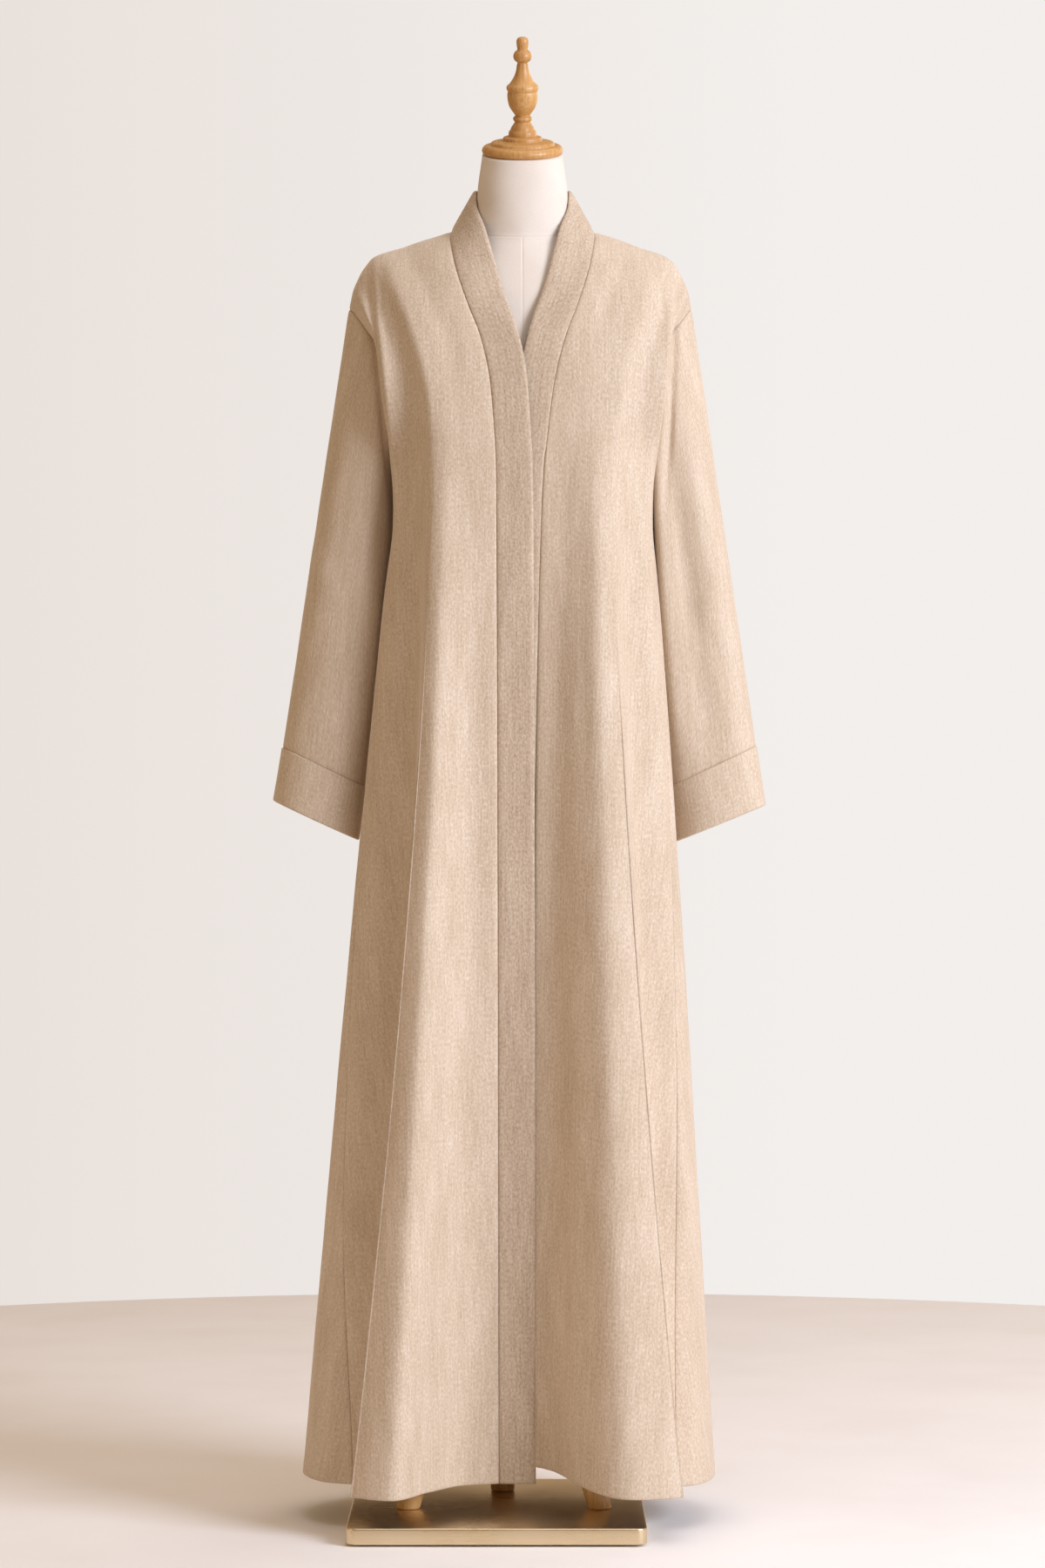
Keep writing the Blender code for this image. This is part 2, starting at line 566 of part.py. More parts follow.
def make_cloak():
    """Build the nine pieces of cloth so that neighbours share their seams."""
    half = SEAM_GAP / 2
    backs = {side: back_half(side) for side in (RIGHT, LEFT)}
    back = np.concatenate([backs[RIGHT][:, ::-1], backs[LEFT][:, 1:]], axis=1)
    back_normals = -grid_normals(back)
    middle = backs[RIGHT].shape[1] - 1
    for side, word in ((RIGHT, "right"), (LEFT, "left")):
        front = front_panel(side)
        front_normals = side * grid_normals(front)
        band = band_half(side, front)
        band_normals = -side * grid_normals(band)
        sleeve = sleeve_tube(side, front[ROWS_BELOW:, -1], backs[side][ROWS_BELOW:, -1])
        sleeve_normals = side * grid_normals(sleeve, round_tube=True)
        sleeve_normals[-1] = lay_in_plane(sleeve_normals[-1], sleeve[-1])
        outer_column = 0 if side == RIGHT else back.shape[1] - 1
        shoulder = [middle + side * (NECK_COLUMNS + step) for step in range(FRONT_COLUMNS + 1)]
        neck = [middle + side * step for step in range(NECK_COLUMNS, -1, -1)]
        low_rows = slice(0, ROWS_BELOW)
        share(front_normals, (low_rows, -1), back_normals, (low_rows, outer_column))
        share(front_normals, (-1, slice(None)), back_normals, (-1, shoulder))
        rows = len(front)
        share(band_normals, (slice(0, rows), 0), front_normals, (slice(None), 0))
        share(band_normals, (slice(rows - 1, None), 0), back_normals, (-1, neck))
        ahead = list(range(ROWS_ABOVE + 1))
        front_rows = [ROWS_BELOW + ROWS_ABOVE - step for step in ahead]
        behind = list(range(ROWS_ABOVE + 1, 2 * ROWS_ABOVE))
        back_rows = [ROWS_BELOW + step - ROWS_ABOVE for step in behind]
        beside = outer_column - side
        into_sleeve = units(sleeve[1] - sleeve[0])
        into_front = units(front[front_rows, -2] - front[front_rows, -1])
        into_back = units(back[back_rows, beside] - back[back_rows, outer_column])
        share(
            sleeve_normals, (0, ahead), front_normals, (front_rows, -1), into_sleeve[ahead] + into_front
        )
        share(
            sleeve_normals, (0, behind), back_normals, (back_rows, outer_column),
            into_sleeve[behind] + into_back,
        )
        back_normals[ROWS_BELOW, outer_column] = front_normals[ROWS_BELOW, -1]
        back_normals[-1, outer_column] = front_normals[-1, -1]
        band_normals[-1, :, 0] = 0
        draw_back(front, 1, "first", half)
        draw_back(front, 1, "last", half)
        draw_back(front, 0, "last", half)
        draw_back(band, 1, "first", half)
        draw_back(band, 0, "last", half)
        draw_back(sleeve, 0, "first", ARMHOLE_EASE)
        draw_back(sleeve, 0, "last", half)
        cloth_wall("front_" + word, front, front_normals, FABRIC_WALL, "abaya_cloth")
        cloth_wall("band_" + word, band, band_normals, BAND_WALL, "band_cloth")
        cloth_wall("sleeve_" + word, sleeve, sleeve_normals, FABRIC_WALL, "abaya_cloth", True)
        cuff = cuff_tube(side, sleeve.shape[1])
        cuff_normals = side * grid_normals(cuff, round_tube=True)
        for end in (0, -1):
            cuff_normals[end] = lay_in_plane(cuff_normals[end], cuff[end])
        draw_back(cuff, 0, "first", half)
        cloth_wall("cuff_" + word, cuff, cuff_normals, CUFF_WALL, "abaya_cloth", True)
    draw_back(back, 1, "first", half)
    draw_back(back, 1, "last", half)
    draw_back(back, 0, "last", half)
    cloth_wall("back", back, back_normals, FABRIC_WALL, "abaya_cloth")


def make_form():
    """Loft the torso and neck of the form through its levels."""
    turn = np.arange(FORM_SIDES) / FORM_SIDES * 2 * math.pi
    mesh = bmesh.new()
    rings = []
    for row in FORM_ROWS:
        power = 2 / row.squareness
        rise = max(0.0, (row.z - TILT_START_Z) / (FORM_ROWS[-1].z - TILT_START_Z))
        lean = math.tan(math.radians(NECK_TILT)) * rise
        ring = []
        for angle in turn:
            x = row.half_width * math.copysign(abs(math.cos(angle)) ** power, math.cos(angle))
            depth = row.back if math.sin(angle) > 0 else row.front
            y = depth * math.copysign(abs(math.sin(angle)) ** power, math.sin(angle))
            fullness = row.chest * bump(x, 0, CHEST_WIDTH)
            y += fullness * NAPE_SHARE if math.sin(angle) > 0 else -fullness
            ring.append(mesh.verts.new(Vector((x, row.centre_y + y, row.z + y * lean)) * MM))
        rings.append(ring)
    for low, high in zip(rings, rings[1:]):
        for k in range(FORM_SIDES):
            n = (k + 1) % FORM_SIDES
            mesh.faces.new((low[k], low[n], high[n], high[k]))
    mesh.faces.new(rings[0][::-1])
    mesh.faces.new(rings[-1])
    bmesh.ops.recalc_face_normals(mesh, faces=mesh.faces)
    data = bpy.data.meshes.new("form_torso")
    mesh.to_mesh(data)
    mesh.free()
    return add_object("form_torso", data, "form_jersey")


def make_turned(name, profile, finish_name):
    """Turn a profile, listed from its top down the outer side, with a Screw modifier."""
    data = bpy.data.meshes.new(name)
    points = [(point.radius * MM, 0, point.height * MM) for point in profile]
    data.from_pydata(points, [(i, i + 1) for i in range(len(points) - 1)], [])
    thing = add_object(name, data, finish_name)
    screw = thing.modifiers.new("Turn", "SCREW")
    screw.steps = TURN_STEPS
    screw.render_steps = TURN_STEPS
    screw.use_merge_vertices = True
    screw.merge_threshold = 0.00005
    screw.use_smooth_shade = True
    return thing


def make_neck_pieces():
    """Set the wooden cap and finial on the leaning top of the neck."""
    top = FORM_ROWS[-1]
    for name, profile in (("neck_cap", CAP_PROFILE), ("finial", FINIAL_PROFILE)):
        thing = make_turned(name, profile, "turned_wood")
        thing.location = (0, top.centre_y * MM, top.z * MM)
        thing.rotation_euler = (math.radians(NECK_TILT), 0, 0)


def make_cylinder(name, radius, low_z, high_z, x, y, finish_name, sides=24):
    """Add an upright cylinder between two heights."""
    mesh = bmesh.new()
    height = (high_z - low_z) * MM
    bmesh.ops.create_cone(
        mesh, cap_ends=True, segments=sides, radius1=radius * MM, radius2=radius * MM, depth=height
    )
    data = bpy.data.meshes.new(name)
    mesh.to_mesh(data)
    mesh.free()
    thing = add_object(name, data, finish_name)
    thing.location = (x * MM, y * MM, (low_z + high_z) / 2 * MM)
    return thing


def add_bevel(thing, width, segments):
    """Round the sharp edges of an object."""
    bevel = thing.modifiers.new("Round", "BEVEL")
    bevel.width = width * MM
    bevel.segments = segments
    bevel.limit_method = "ANGLE"


def make_leg(foot):
    """Bend a leg from the hub out to its foot and cut it flat above the plate."""
    reach = Vector((foot.x - STAND_X, foot.y - STAND_Y))
    top = Vector((STAND_X, STAND_Y)) + reach.normalized() * LEG_TOP_REACH
    below = PLATE_TOP_Z - 8
    high = HUB_BOTTOM_Z - SEAM_GAP
    curve = bpy.data.curves.new(foot.name, "CURVE")
    curve.dimensions = "3D"
    curve.bevel_depth = LEG_RADIUS * MM
    curve.bevel_resolution = 3
    curve.use_fill_caps = True
    track = curve.splines.new("POLY")
    steps = 8
    track.points.add(steps + 1)
    places = [(top.x, top.y, high)]
    for step in range(steps + 1):
        fall = step / steps
        z = high - 20 - (high - 20 - below) * fall
        shift = (Vector((foot.x, foot.y)) - top) * fall**LEG_CURVE
        places.append((top.x + shift.x, top.y + shift.y, z))
    for point, place in zip(track.points, places):
        point.co = (*(Vector(place) * MM), 1.0)
    holder = bpy.data.objects.new(foot.name + "_curve", curve)
    PARTS.objects.link(holder)
    bpy.context.view_layer.update()
    depsgraph = bpy.context.evaluated_depsgraph_get()
    data = bpy.data.meshes.new_from_object(holder.evaluated_get(depsgraph))
    bpy.data.objects.remove(holder, do_unlink=True)
    mesh = bmesh.new()
    mesh.from_mesh(data)
    bmesh.ops.remove_doubles(mesh, verts=mesh.verts, dist=0.00005)
    cut = bmesh.ops.bisect_plane(
        mesh, geom=mesh.verts[:] + mesh.edges[:] + mesh.faces[:],
        plane_co=(0, 0, (PLATE_TOP_Z + SEAM_GAP) * MM), plane_no=(0, 0, 1), clear_inner=True,
    )
    rim = [item for item in cut["geom_cut"] if isinstance(item, bmesh.types.BMEdge)]
    bmesh.ops.edgeloop_fill(mesh, edges=rim)
    bmesh.ops.recalc_face_normals(mesh, faces=mesh.faces)
    mesh.to_mesh(data)
    mesh.free()
    data.name = foot.name
    data.materials.clear()
    return add_object(foot.name, data, "turned_wood")


def make_stand():
    """Build the pole, hub, legs, plate and pads under the form."""
    torso_bottom = FORM_ROWS[0].z
    make_cylinder(
        "pole", POLE_RADIUS, HUB_TOP_Z + SEAM_GAP, torso_bottom - SEAM_GAP, STAND_X, STAND_Y, "turned_wood"
    )
    hub = make_cylinder("hub", HUB_RADIUS, HUB_BOTTOM_Z, HUB_TOP_Z, STAND_X, STAND_Y, "turned_wood")
    add_bevel(hub, 6, 3)
    for foot in LEG_FEET:
        make_leg(foot)
    mesh = bmesh.new()
    bmesh.ops.create_cube(mesh, size=1.0)
    size = Vector((PLATE_WIDTH, PLATE_DEPTH, PLATE_TOP_Z - PLATE_BOTTOM_Z)) * MM
    bmesh.ops.scale(mesh, vec=size, verts=mesh.verts)
    upright = [edge for edge in mesh.edges if abs(edge.verts[0].co.z - edge.verts[1].co.z) > size.z / 2]
    bmesh.ops.bevel(mesh, geom=upright, offset=PLATE_CORNER * MM, segments=5, affect="EDGES", profile=0.5)
    data = bpy.data.meshes.new("base_plate")
    mesh.to_mesh(data)
    mesh.free()
    plate = add_object("base_plate", data, "plate_metal")
    plate.location = Vector((PLATE_X, PLATE_Y, (PLATE_TOP_Z + PLATE_BOTTOM_Z) / 2)) * MM
    add_bevel(plate, 1.2, 2)
    number = 1
    for across in (-1, 1):
        for ahead in (-1, 1):
            x = PLATE_X + across * (PLATE_WIDTH / 2 - PAD_INSET)
            y = PLATE_Y + ahead * (PLATE_DEPTH / 2 - PAD_INSET)
            make_cylinder(f"pad_{number}", PAD_RADIUS, 0, PAD_HEIGHT, x, y, "pad_rubber", sides=20)
            number += 1


def stand_on_origin():
    """Set the middle of the whole part's footprint box on the origin."""
    bpy.context.view_layer.update()
    depsgraph = bpy.context.evaluated_depsgraph_get()
    corners = []
    for thing in PARTS.objects:
        shown = thing.evaluated_get(depsgraph)
        corners += [shown.matrix_world @ Vector(corner) for corner in shown.bound_box]
    low = Vector([min(corner[axis] for corner in corners) for axis in (0, 1)])
    high = Vector([max(corner[axis] for corner in corners) for axis in (0, 1)])
    middle = (low + high) / 2
    for thing in PARTS.objects:
        thing.location.x -= middle.x
        thing.location.y -= middle.y


clear_scene()
PARTS = make_collection("abaya_cloak")
make_cloak()
make_form()
make_neck_pieces()
make_stand()
stand_on_origin()
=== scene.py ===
"""Beige open-front abaya cloak on a limbless dress form, dressed for its picture.

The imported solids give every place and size. The cloth is made again here at a fine pitch from
the same fold lines, with its seams, turned hem, rounded folds and creases. The form, its turned
wood, the legs and the plate get finer shapes, and every surface gets its own finish.
Sizes are millimetres from the form's own middle line, and SHIFT moves each piece into the
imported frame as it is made. +X is the viewer's right, -Y the front.
"""

import logging
import math
from dataclasses import dataclass, field
from enum import Enum

import bmesh
import bpy
import numpy as np
from mathutils import Matrix, Vector


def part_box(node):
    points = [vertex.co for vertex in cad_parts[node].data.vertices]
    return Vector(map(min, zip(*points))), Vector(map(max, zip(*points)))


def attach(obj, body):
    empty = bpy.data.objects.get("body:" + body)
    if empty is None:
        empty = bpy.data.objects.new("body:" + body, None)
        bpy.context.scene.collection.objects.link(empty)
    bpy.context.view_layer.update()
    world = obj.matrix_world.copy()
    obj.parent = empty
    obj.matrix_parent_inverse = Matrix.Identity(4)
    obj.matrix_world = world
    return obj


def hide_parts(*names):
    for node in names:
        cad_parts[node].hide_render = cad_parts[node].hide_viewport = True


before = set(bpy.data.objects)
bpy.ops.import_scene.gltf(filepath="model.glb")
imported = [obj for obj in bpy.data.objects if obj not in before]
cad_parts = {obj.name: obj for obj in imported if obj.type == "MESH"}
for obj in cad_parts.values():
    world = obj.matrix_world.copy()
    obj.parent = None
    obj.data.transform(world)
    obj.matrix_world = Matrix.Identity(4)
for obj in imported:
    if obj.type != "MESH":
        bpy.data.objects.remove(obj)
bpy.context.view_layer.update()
LOG = logging.getLogger("abaya")
MM = 0.001


class Side(Enum):
    """A side of the cloak, named as the wearer would, with its sign along X."""

    RIGHT = -1
    LEFT = 1

    @property
    def word(self) -> str:
        """The side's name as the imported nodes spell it."""
        return self.name.lower()


class Edge(Enum):
    """An edge of a panel's grid."""

    LOW = "first row"
    HIGH = "last row"
    INNER = "first column"
    OUTER = "last column"


@dataclass(frozen=True)
class FoldLine:
    """A line down the skirt, from the underarm's height to the hem. The eases are powers, and
    crisp is how sharply the cloth folds over the line, from 0 to 1."""

    name: str
    top_x: float
    top_y: float
    hem_x: float
    hem_y: float
    ease_x: float
    ease_y: float
    crisp: float = 0.0


@dataclass(frozen=True)
class BackFold:
    """A soft ridge down the back that grows from start_z to the hem."""

    station: float
    width: float
    depth: float
    start_z: float


@dataclass(frozen=True)
class NeckRow:
    """The band's seam and free edge at one height; x is outwards from the middle."""

    right_x: float
    left_x: float
    seam_y: float
    seam_z: float
    right_edge: float
    left_edge: float
    edge_y: float
    edge_z: float


@dataclass(frozen=True)
class Ring:
    """A half ring round the back of the neck."""

    half_width: float
    centre_y: float
    depth: float
    side_z: float
    rise: float


@dataclass(frozen=True)
class CuffRing:
    """A sleeve end, from its outer to its inner corner."""

    outer_x: float
    outer_z: float
    inner_x: float
    inner_z: float
    half_depth: float


@dataclass(frozen=True)
class SleeveFold:
    """A long soft fold down a sleeve; turn is 0 at the outer side and 0.25 at the front."""

    turn: float
    width: float
    depth: float
    start: float
    end: float


@dataclass(frozen=True)
class Crease:
    """A soft crease between two points of the front or back view, with a ridge or hollow height."""

    from_x: float
    from_z: float
    to_x: float
    to_z: float
    width: float
    height: float
    facing: int = -1


@dataclass(frozen=True)
class FormRow:
    """A level of the dress form. Depths are to the front and back of centre_y."""

    z: float
    half_width: float
    front: float
    back: float
    centre_y: float
    squareness: float
    chest: float


@dataclass(frozen=True)
class TurnPoint:
    """A point of a turned profile, from the leaning axis."""

    radius: float
    height: float


FOLD_LINES = {
    Side.RIGHT: [
        FoldLine("band_seam", 31, -118, 26.5, -79, 0.35, 1.0),
        FoldLine("inner_fall", 56, -119, 70, -95, 1.3, 1.0),
        FoldLine("flank", 70, -118, 104, -138, 1.3, 1.2),
        FoldLine("crest", 88, -117, 144, -193, 1.3, 1.25),
        FoldLine("edge", 100, -113, 189, -167, 1.47, 1.25, 0.65),
        FoldLine("trough", 117, -83, 177, -95, 2.1, 0.7),
        FoldLine("turn", 129, -66, 225, -66, 0.9, 1.0),
        FoldLine("flare", 136, -50, 251, -6, 0.9, 2.5),
        FoldLine("side", 146, 2, 246, 52, 2.0, 1.5),
        FoldLine("back_side", 122, 66, 205, 118, 1.2, 1.2),
        FoldLine("back_middle", 62, 92, 110, 146, 1.2, 1.2),
        FoldLine("centre_back", 0, 97, 16, 150, 1.0, 1.2),
    ],
    Side.LEFT: [
        FoldLine("band_seam", 27, -118, 4, -73, 0.5, 1.0),
        FoldLine("inner_fall", 54, -119, 26, -91, 0.5, 1.2),
        FoldLine("flank", 64, -119, 64, -146, 1.0, 0.85),
        FoldLine("crest", 84, -117, 115, -187, 1.3, 1.0),
        FoldLine("edge", 100, -113, 177, -169, 1.5, 1.0, 0.65),
        FoldLine("trough", 119, -96, 168, -108, 2.0, 0.9),
        FoldLine("turn", 133, -80, 200, -82, 0.9, 1.0),
        FoldLine("flare", 139, -58, 219, -20, 0.85, 2.5),
        FoldLine("side", 146, 2, 216, 50, 2.0, 1.5),
        FoldLine("back_side", 122, 66, 180, 118, 1.2, 1.2),
        FoldLine("back_middle", 62, 92, 82, 146, 1.2, 1.2),
        FoldLine("centre_back", 0, 97, -16, 150, 1.0, 1.2),
    ],
}
EDGE_STATION, SIDE_STATION, NECK_STATION, BACK_STATION = 4, 8, 10, 11
BACK_FOLDS = {
    Side.RIGHT: [BackFold(9.3, 0.42, 16, 1150), BackFold(10.35, 0.40, 15, 1250)],
    Side.LEFT: [BackFold(9.45, 0.40, 15, 1200), BackFold(10.45, 0.38, 14, 1100)],
}
NECK_ROWS = [
    NeckRow(31, 27, -118, 1215, -9.5, -13.5, -118, 1215),
    NeckRow(34, 32, -116.5, 1260, -6.5, -8.5, -117, 1262),
    NeckRow(38.5, 38.5, -112, 1302, -1.5, -1.5, -112.5, 1312),
    NeckRow(48, 49, -103, 1342, 8, 8, -104, 1352),
    NeckRow(62, 62.5, -92, 1379, 22, 22.5, -88, 1394),
    NeckRow(76, 76, -70, 1423, 36, 36.5, -66, 1444),
    NeckRow(81.5, 81.5, -42, 1451, 45, 45, -46, 1474),
    NeckRow(83, 83.5, -18, 1466, 54, 54, -22, 1499),
    NeckRow(82, 82, 2, 1474, 56, 56, 4, 1521.5),
]
SHOULDER = {
    Side.RIGHT: [(82, 2, 1474), (130, 6, 1459), (176, 8, 1441), (192, 7, 1413), (200, 4, 1384)],
    Side.LEFT: [(82, 2, 1474), (130, 6, 1458), (173, 8, 1439), (187, 7, 1412), (195, 4, 1384)],
}
# The band's seam and its free edge round the back of the neck
NECK_SEAM, NECK_EDGE = Ring(82, 2, 76, 1474, 20), Ring(56, 4, 62, 1521.5, 8)
CENTRE_BACK = [(97, 1215), (100, 1300), (98, 1380), (91, 1440), (83, 1475), (78, 1494)]
CUFF_SEAM = {Side.RIGHT: CuffRing(276, 879, 181, 834, 47), Side.LEFT: CuffRing(269, 881, 165, 832, 47)}
CUFF_EDGE = {Side.RIGHT: CuffRing(286, 820, 189, 775, 49), Side.LEFT: CuffRing(279, 815, 176, 773, 49)}
SLEEVE_FOLDS = {
    Side.RIGHT: [
        SleeveFold(0.13, 0.06, 3.0, 0.1, 1.0),
        SleeveFold(0.36, 0.08, -6.0, -0.05, 0.5),
        SleeveFold(0.70, 0.07, 4.0, 0.05, 0.9),
        SleeveFold(0.50, 0.13, 8.0, 0.02, 1.0),
    ],
    Side.LEFT: [
        SleeveFold(0.15, 0.05, 4.0, 0.05, 1.0),
        SleeveFold(0.25, 0.045, -6.0, 0.0, 1.05),
        SleeveFold(0.355, 0.045, 6.5, -0.1, 1.05),
        SleeveFold(0.46, 0.04, -6.0, -0.05, 0.45),
        SleeveFold(0.70, 0.07, 4.0, 0.05, 0.9),
        SleeveFold(0.50, 0.13, 8.0, 0.02, 1.0),
    ],
}
# Soft creases that the CAD solids leave out: along the shoulders, over the chest and down the sleeves
CREASES = [
    Crease(-171, 1440, -143, 1190, 4, 1.6),
    Crease(-180, 1436, -150, 1170, 4.5, -4.0),
    Crease(171, 1440, 157, 1190, 4, 2.0),
    Crease(82, 1235, 86, 880, 13, 3.6),
    Crease(180, 1436, 165, 1180, 4, -4.5),
    Crease(-150, 1425, -112, 1290, 10, 1.0),
    Crease(-128, 1440, -80, 1330, 10, -0.9),
    Crease(145, 1420, 115, 1280, 10, 1.0),
    Crease(120, 1440, 78, 1330, 10, -0.9),
    Crease(-250, 1120, -222, 1060, 12, 2.0),
    Crease(-232, 1010, -262, 930, 12, -1.8),
    Crease(228, 1100, 206, 1030, 12, 2.0),
    Crease(214, 1010, 246, 940, 12, -1.8),
]


def units(vectors: np.ndarray) -> np.ndarray:
    """Scale vectors to unit length."""
    return vectors / np.linalg.norm(vectors, axis=-1, keepdims=True)


def bump(value: np.ndarray, centre: float, width: float) -> np.ndarray:
    """A soft ridge of height 1 at centre that has died out at twice its width."""
    return np.exp(-(((value - centre) / width) ** 2))


def spline_grid(
    points: np.ndarray, at: np.ndarray, level_end: bool = False, pull: np.ndarray | None = None
) -> np.ndarray:
    """Read one smooth curve for each row.

    Args:
        points: Knots of each row's curve, (rows, knots, axes).
        at: Positions on each curve in knots, (rows, places).
        level_end: Whether the last knot's curve runs level in every axis but the first.
        pull: How far each knot's tangent reaches, (rows, knots); less than 1 bends sharper.

    Returns:
        The places, (rows, places, axes).
    """
    steps = np.linalg.norm(np.diff(points, axis=1), axis=2) + 1e-9
    slopes = np.diff(points, axis=1) / steps[..., None]
    before, after = steps[:, :-1, None], steps[:, 1:, None]
    middle = (slopes[:, :-1] * after + slopes[:, 1:] * before) / (before + after)
    last = slopes[:, -1:].copy()
    if level_end:
        last[..., 1:] = 0.0
    tangents = np.concatenate([slopes[:, :1], middle, last], axis=1)
    if pull is not None:
        tangents = tangents * pull[..., None]
    low = np.clip(np.floor(at).astype(int), 0, points.shape[1] - 2)
    part = (at - low)[..., None]
    row = np.arange(points.shape[0])[:, None]
    step = steps[row, low][..., None]
    leave, arrive = tangents[row, low] * step, tangents[row, low + 1] * step
    return (
        (2 * part**3 - 3 * part**2 + 1) * points[row, low]
        + (part**3 - 2 * part**2 + part) * leave
        + (3 * part**2 - 2 * part**3) * points[row, low + 1]
        + (part**3 - part**2) * arrive
    )


def spline(points: list, at: np.ndarray) -> np.ndarray:
    """Read a smooth curve through points at positions from 0 to one less than their number."""
    knots = np.asarray(points, dtype=float)
    return spline_grid(knots[None], np.asarray(at, dtype=float)[None])[0]


def positions_by_length(points: list, shares: np.ndarray) -> np.ndarray:
    """Give the positions on a smooth curve that lie at shares of its length."""
    fine = np.linspace(0, len(points) - 1, 400)
    track = spline(points, fine)
    length = np.concatenate([[0], np.cumsum(np.linalg.norm(np.diff(track, axis=0), axis=1))])
    return np.interp(shares * length[-1], length, fine)


def crowd(shares: np.ndarray, pull: float) -> np.ndarray:
    """Crowd even shares towards both ends, where seams need a finer mesh."""
    return shares - pull * np.sin(2 * math.pi * shares) / (2 * math.pi)


def run_lengths(grid: np.ndarray, axis: int) -> np.ndarray:
    """Length along a grid's lines from their start to each point."""
    steps = np.linalg.norm(np.diff(grid, axis=axis), axis=2)
    start = np.zeros_like(np.take(steps, [0], axis=axis))
    return np.cumsum(np.concatenate([start, steps], axis=axis), axis=axis)


def grid_normals(grid: np.ndarray, tube: bool = False) -> np.ndarray:
    """Unit normals of a grid from its neighbours' places."""
    along = np.gradient(grid, axis=0)
    across = (np.roll(grid, -1, 1) - np.roll(grid, 1, 1)) / 2 if tube else np.gradient(grid, axis=1)
    return units(np.cross(across, along))


@dataclass
class CloakShape:
    """The cloak's surface: how each cut piece lies on the form, before it has a thickness."""

    hem_z: float = 50.0
    underarm_z: float = 1215.0
    v_point_z: float = 1316.0
    lap_fade_z: float = 1420.0
    band_width: float = 40.5
    lap_over: float = 3.0
    lap_under: float = 4.5
    armhole_depth: float = 50.0
    armhole_curve: float = 2.6
    armpit_fold: float = 16.0
    cuff_y: float = 13.0
    cuff_squareness: float = 2.3
    cuff_proud: float = 1.2
    corner_reach: float = 26.0
    rows_below: int = 150
    rows_above: int = 80
    columns: int = 86
    edge_column: int = 54
    edge_press: tuple[float, float] = (0.6, -1.5)
    neck_columns: int = 18
    sleeve_rows: int = 120
    cuff_rows: int = 26
    band_columns: int = 12
    neck_share: float = 3 / 17
    side_hem_station: dict = field(default_factory=lambda: {Side.RIGHT: 5.35, Side.LEFT: 5.25})
    side_ease: dict = field(default_factory=lambda: {Side.RIGHT: 1.0, Side.LEFT: 0.6})
    hem_lift: dict = field(default_factory=lambda: {Side.RIGHT: 0.0, Side.LEFT: 19.0})

    def __post_init__(self) -> None:
        """Work out the shares at which rows and columns lie."""
        self.climb = np.linspace(0, 1, self.rows_below + 1) ** 1.25
        self.spread = crowd(np.linspace(0, 1, self.columns + 1), 0.64)
        self.rise = np.linspace(0, 1, self.rows_above + 1)

    def skirt(self, side: Side, station: np.ndarray) -> np.ndarray:
        """Place half the skirt.

        Args:
            side: Which half of the cloak.
            station: Each point's place among the fold lines, (rows, columns).

        Returns:
            The points, hem first.
        """
        lift = self.hem_lift[side] * np.exp(-((station[0] / 2.1) ** 4))
        climb = self.climb[:, None]
        z = (self.hem_z + lift) * (1 - climb) + self.underarm_z * climb
        fall = np.clip((self.underarm_z - z) / (self.underarm_z - self.hem_z), 0, 1)
        lines = FOLD_LINES[side]
        tops = np.array([(line.top_x, line.top_y) for line in lines])
        hems = np.array([(line.hem_x, line.hem_y) for line in lines])
        eases = np.array([(line.ease_x, line.ease_y) for line in lines])
        knots = tops + (hems - tops) * fall.reshape(-1, 1, 1) ** eases
        crisp = np.array([line.crisp for line in lines])
        pull = 1 - crisp * np.minimum(1, 3 * fall.reshape(-1, 1))
        plan = spline_grid(knots, station.reshape(-1, 1), True, pull)[:, 0].reshape(*z.shape, 2)
        for fold in BACK_FOLDS[side]:
            growth = np.clip((fold.start_z - z) / (fold.start_z - self.hem_z), 0, 1) ** 1.2
            plan[..., 1] += fold.depth * growth * bump(station, fold.station, fold.width)
        pressed = bump(station, EDGE_STATION, 0.045) * np.clip((fall - 0.15) * 5, 0, 1)
        plan += pressed[..., None] * self.edge_press
        plan[..., 0] -= 7.0 * bump(z, 1135.0, 45.0) * bump(station, SIDE_STATION, 0.9)
        plan[..., 0] += self.armpit_fold * bump(z, 1220.0, 62.0) * bump(station, 6.9, 0.5)
        return np.dstack([side.value * plan[..., 0], plan[..., 1], z])

    def armhole(self, side: Side, back: bool) -> np.ndarray:
        """Points up the front or back half of an armhole, underarm first."""
        top_x, top_y, top_z = SHOULDER[side][-1]
        low = FOLD_LINES[side][SIDE_STATION]
        angle = math.pi * (1 - self.rise)
        rise = (1 + np.cos(angle)) / 2
        x = low.top_x + (top_x - low.top_x) * rise**self.armhole_curve
        y = low.top_y + (top_y - low.top_y) * rise
        y += (1 if back else -1) * self.armhole_depth * np.sin(angle)
        z = self.underarm_z + (top_z - self.underarm_z) * rise
        return np.stack([side.value * x, y, z], axis=1)

    def neck_lines(self, side: Side) -> tuple[np.ndarray, np.ndarray]:
        """The band's seam and its free edge from the underarm's height to the side of the neck."""
        right = side is Side.RIGHT
        seam = [(row.right_x if right else row.left_x, row.seam_y, row.seam_z) for row in NECK_ROWS]
        edge = [(row.right_edge if right else row.left_edge, row.edge_y, row.edge_z) for row in NECK_ROWS]
        at = positions_by_length(seam, self.rise)
        flip = (side.value, 1, 1)
        return spline(seam, at) * flip, spline(edge, at) * flip

    def neck_ring(self, ring: Ring, side: Side) -> np.ndarray:
        """Points round the back of the neck, from its side to the centre back."""
        angle = np.linspace(0, math.pi / 2, self.neck_columns + 1)
        x = side.value * ring.half_width * np.cos(angle)
        rise = np.sin(angle)
        return np.stack([x, ring.centre_y + ring.depth * rise, ring.side_z + ring.rise * rise], axis=1)

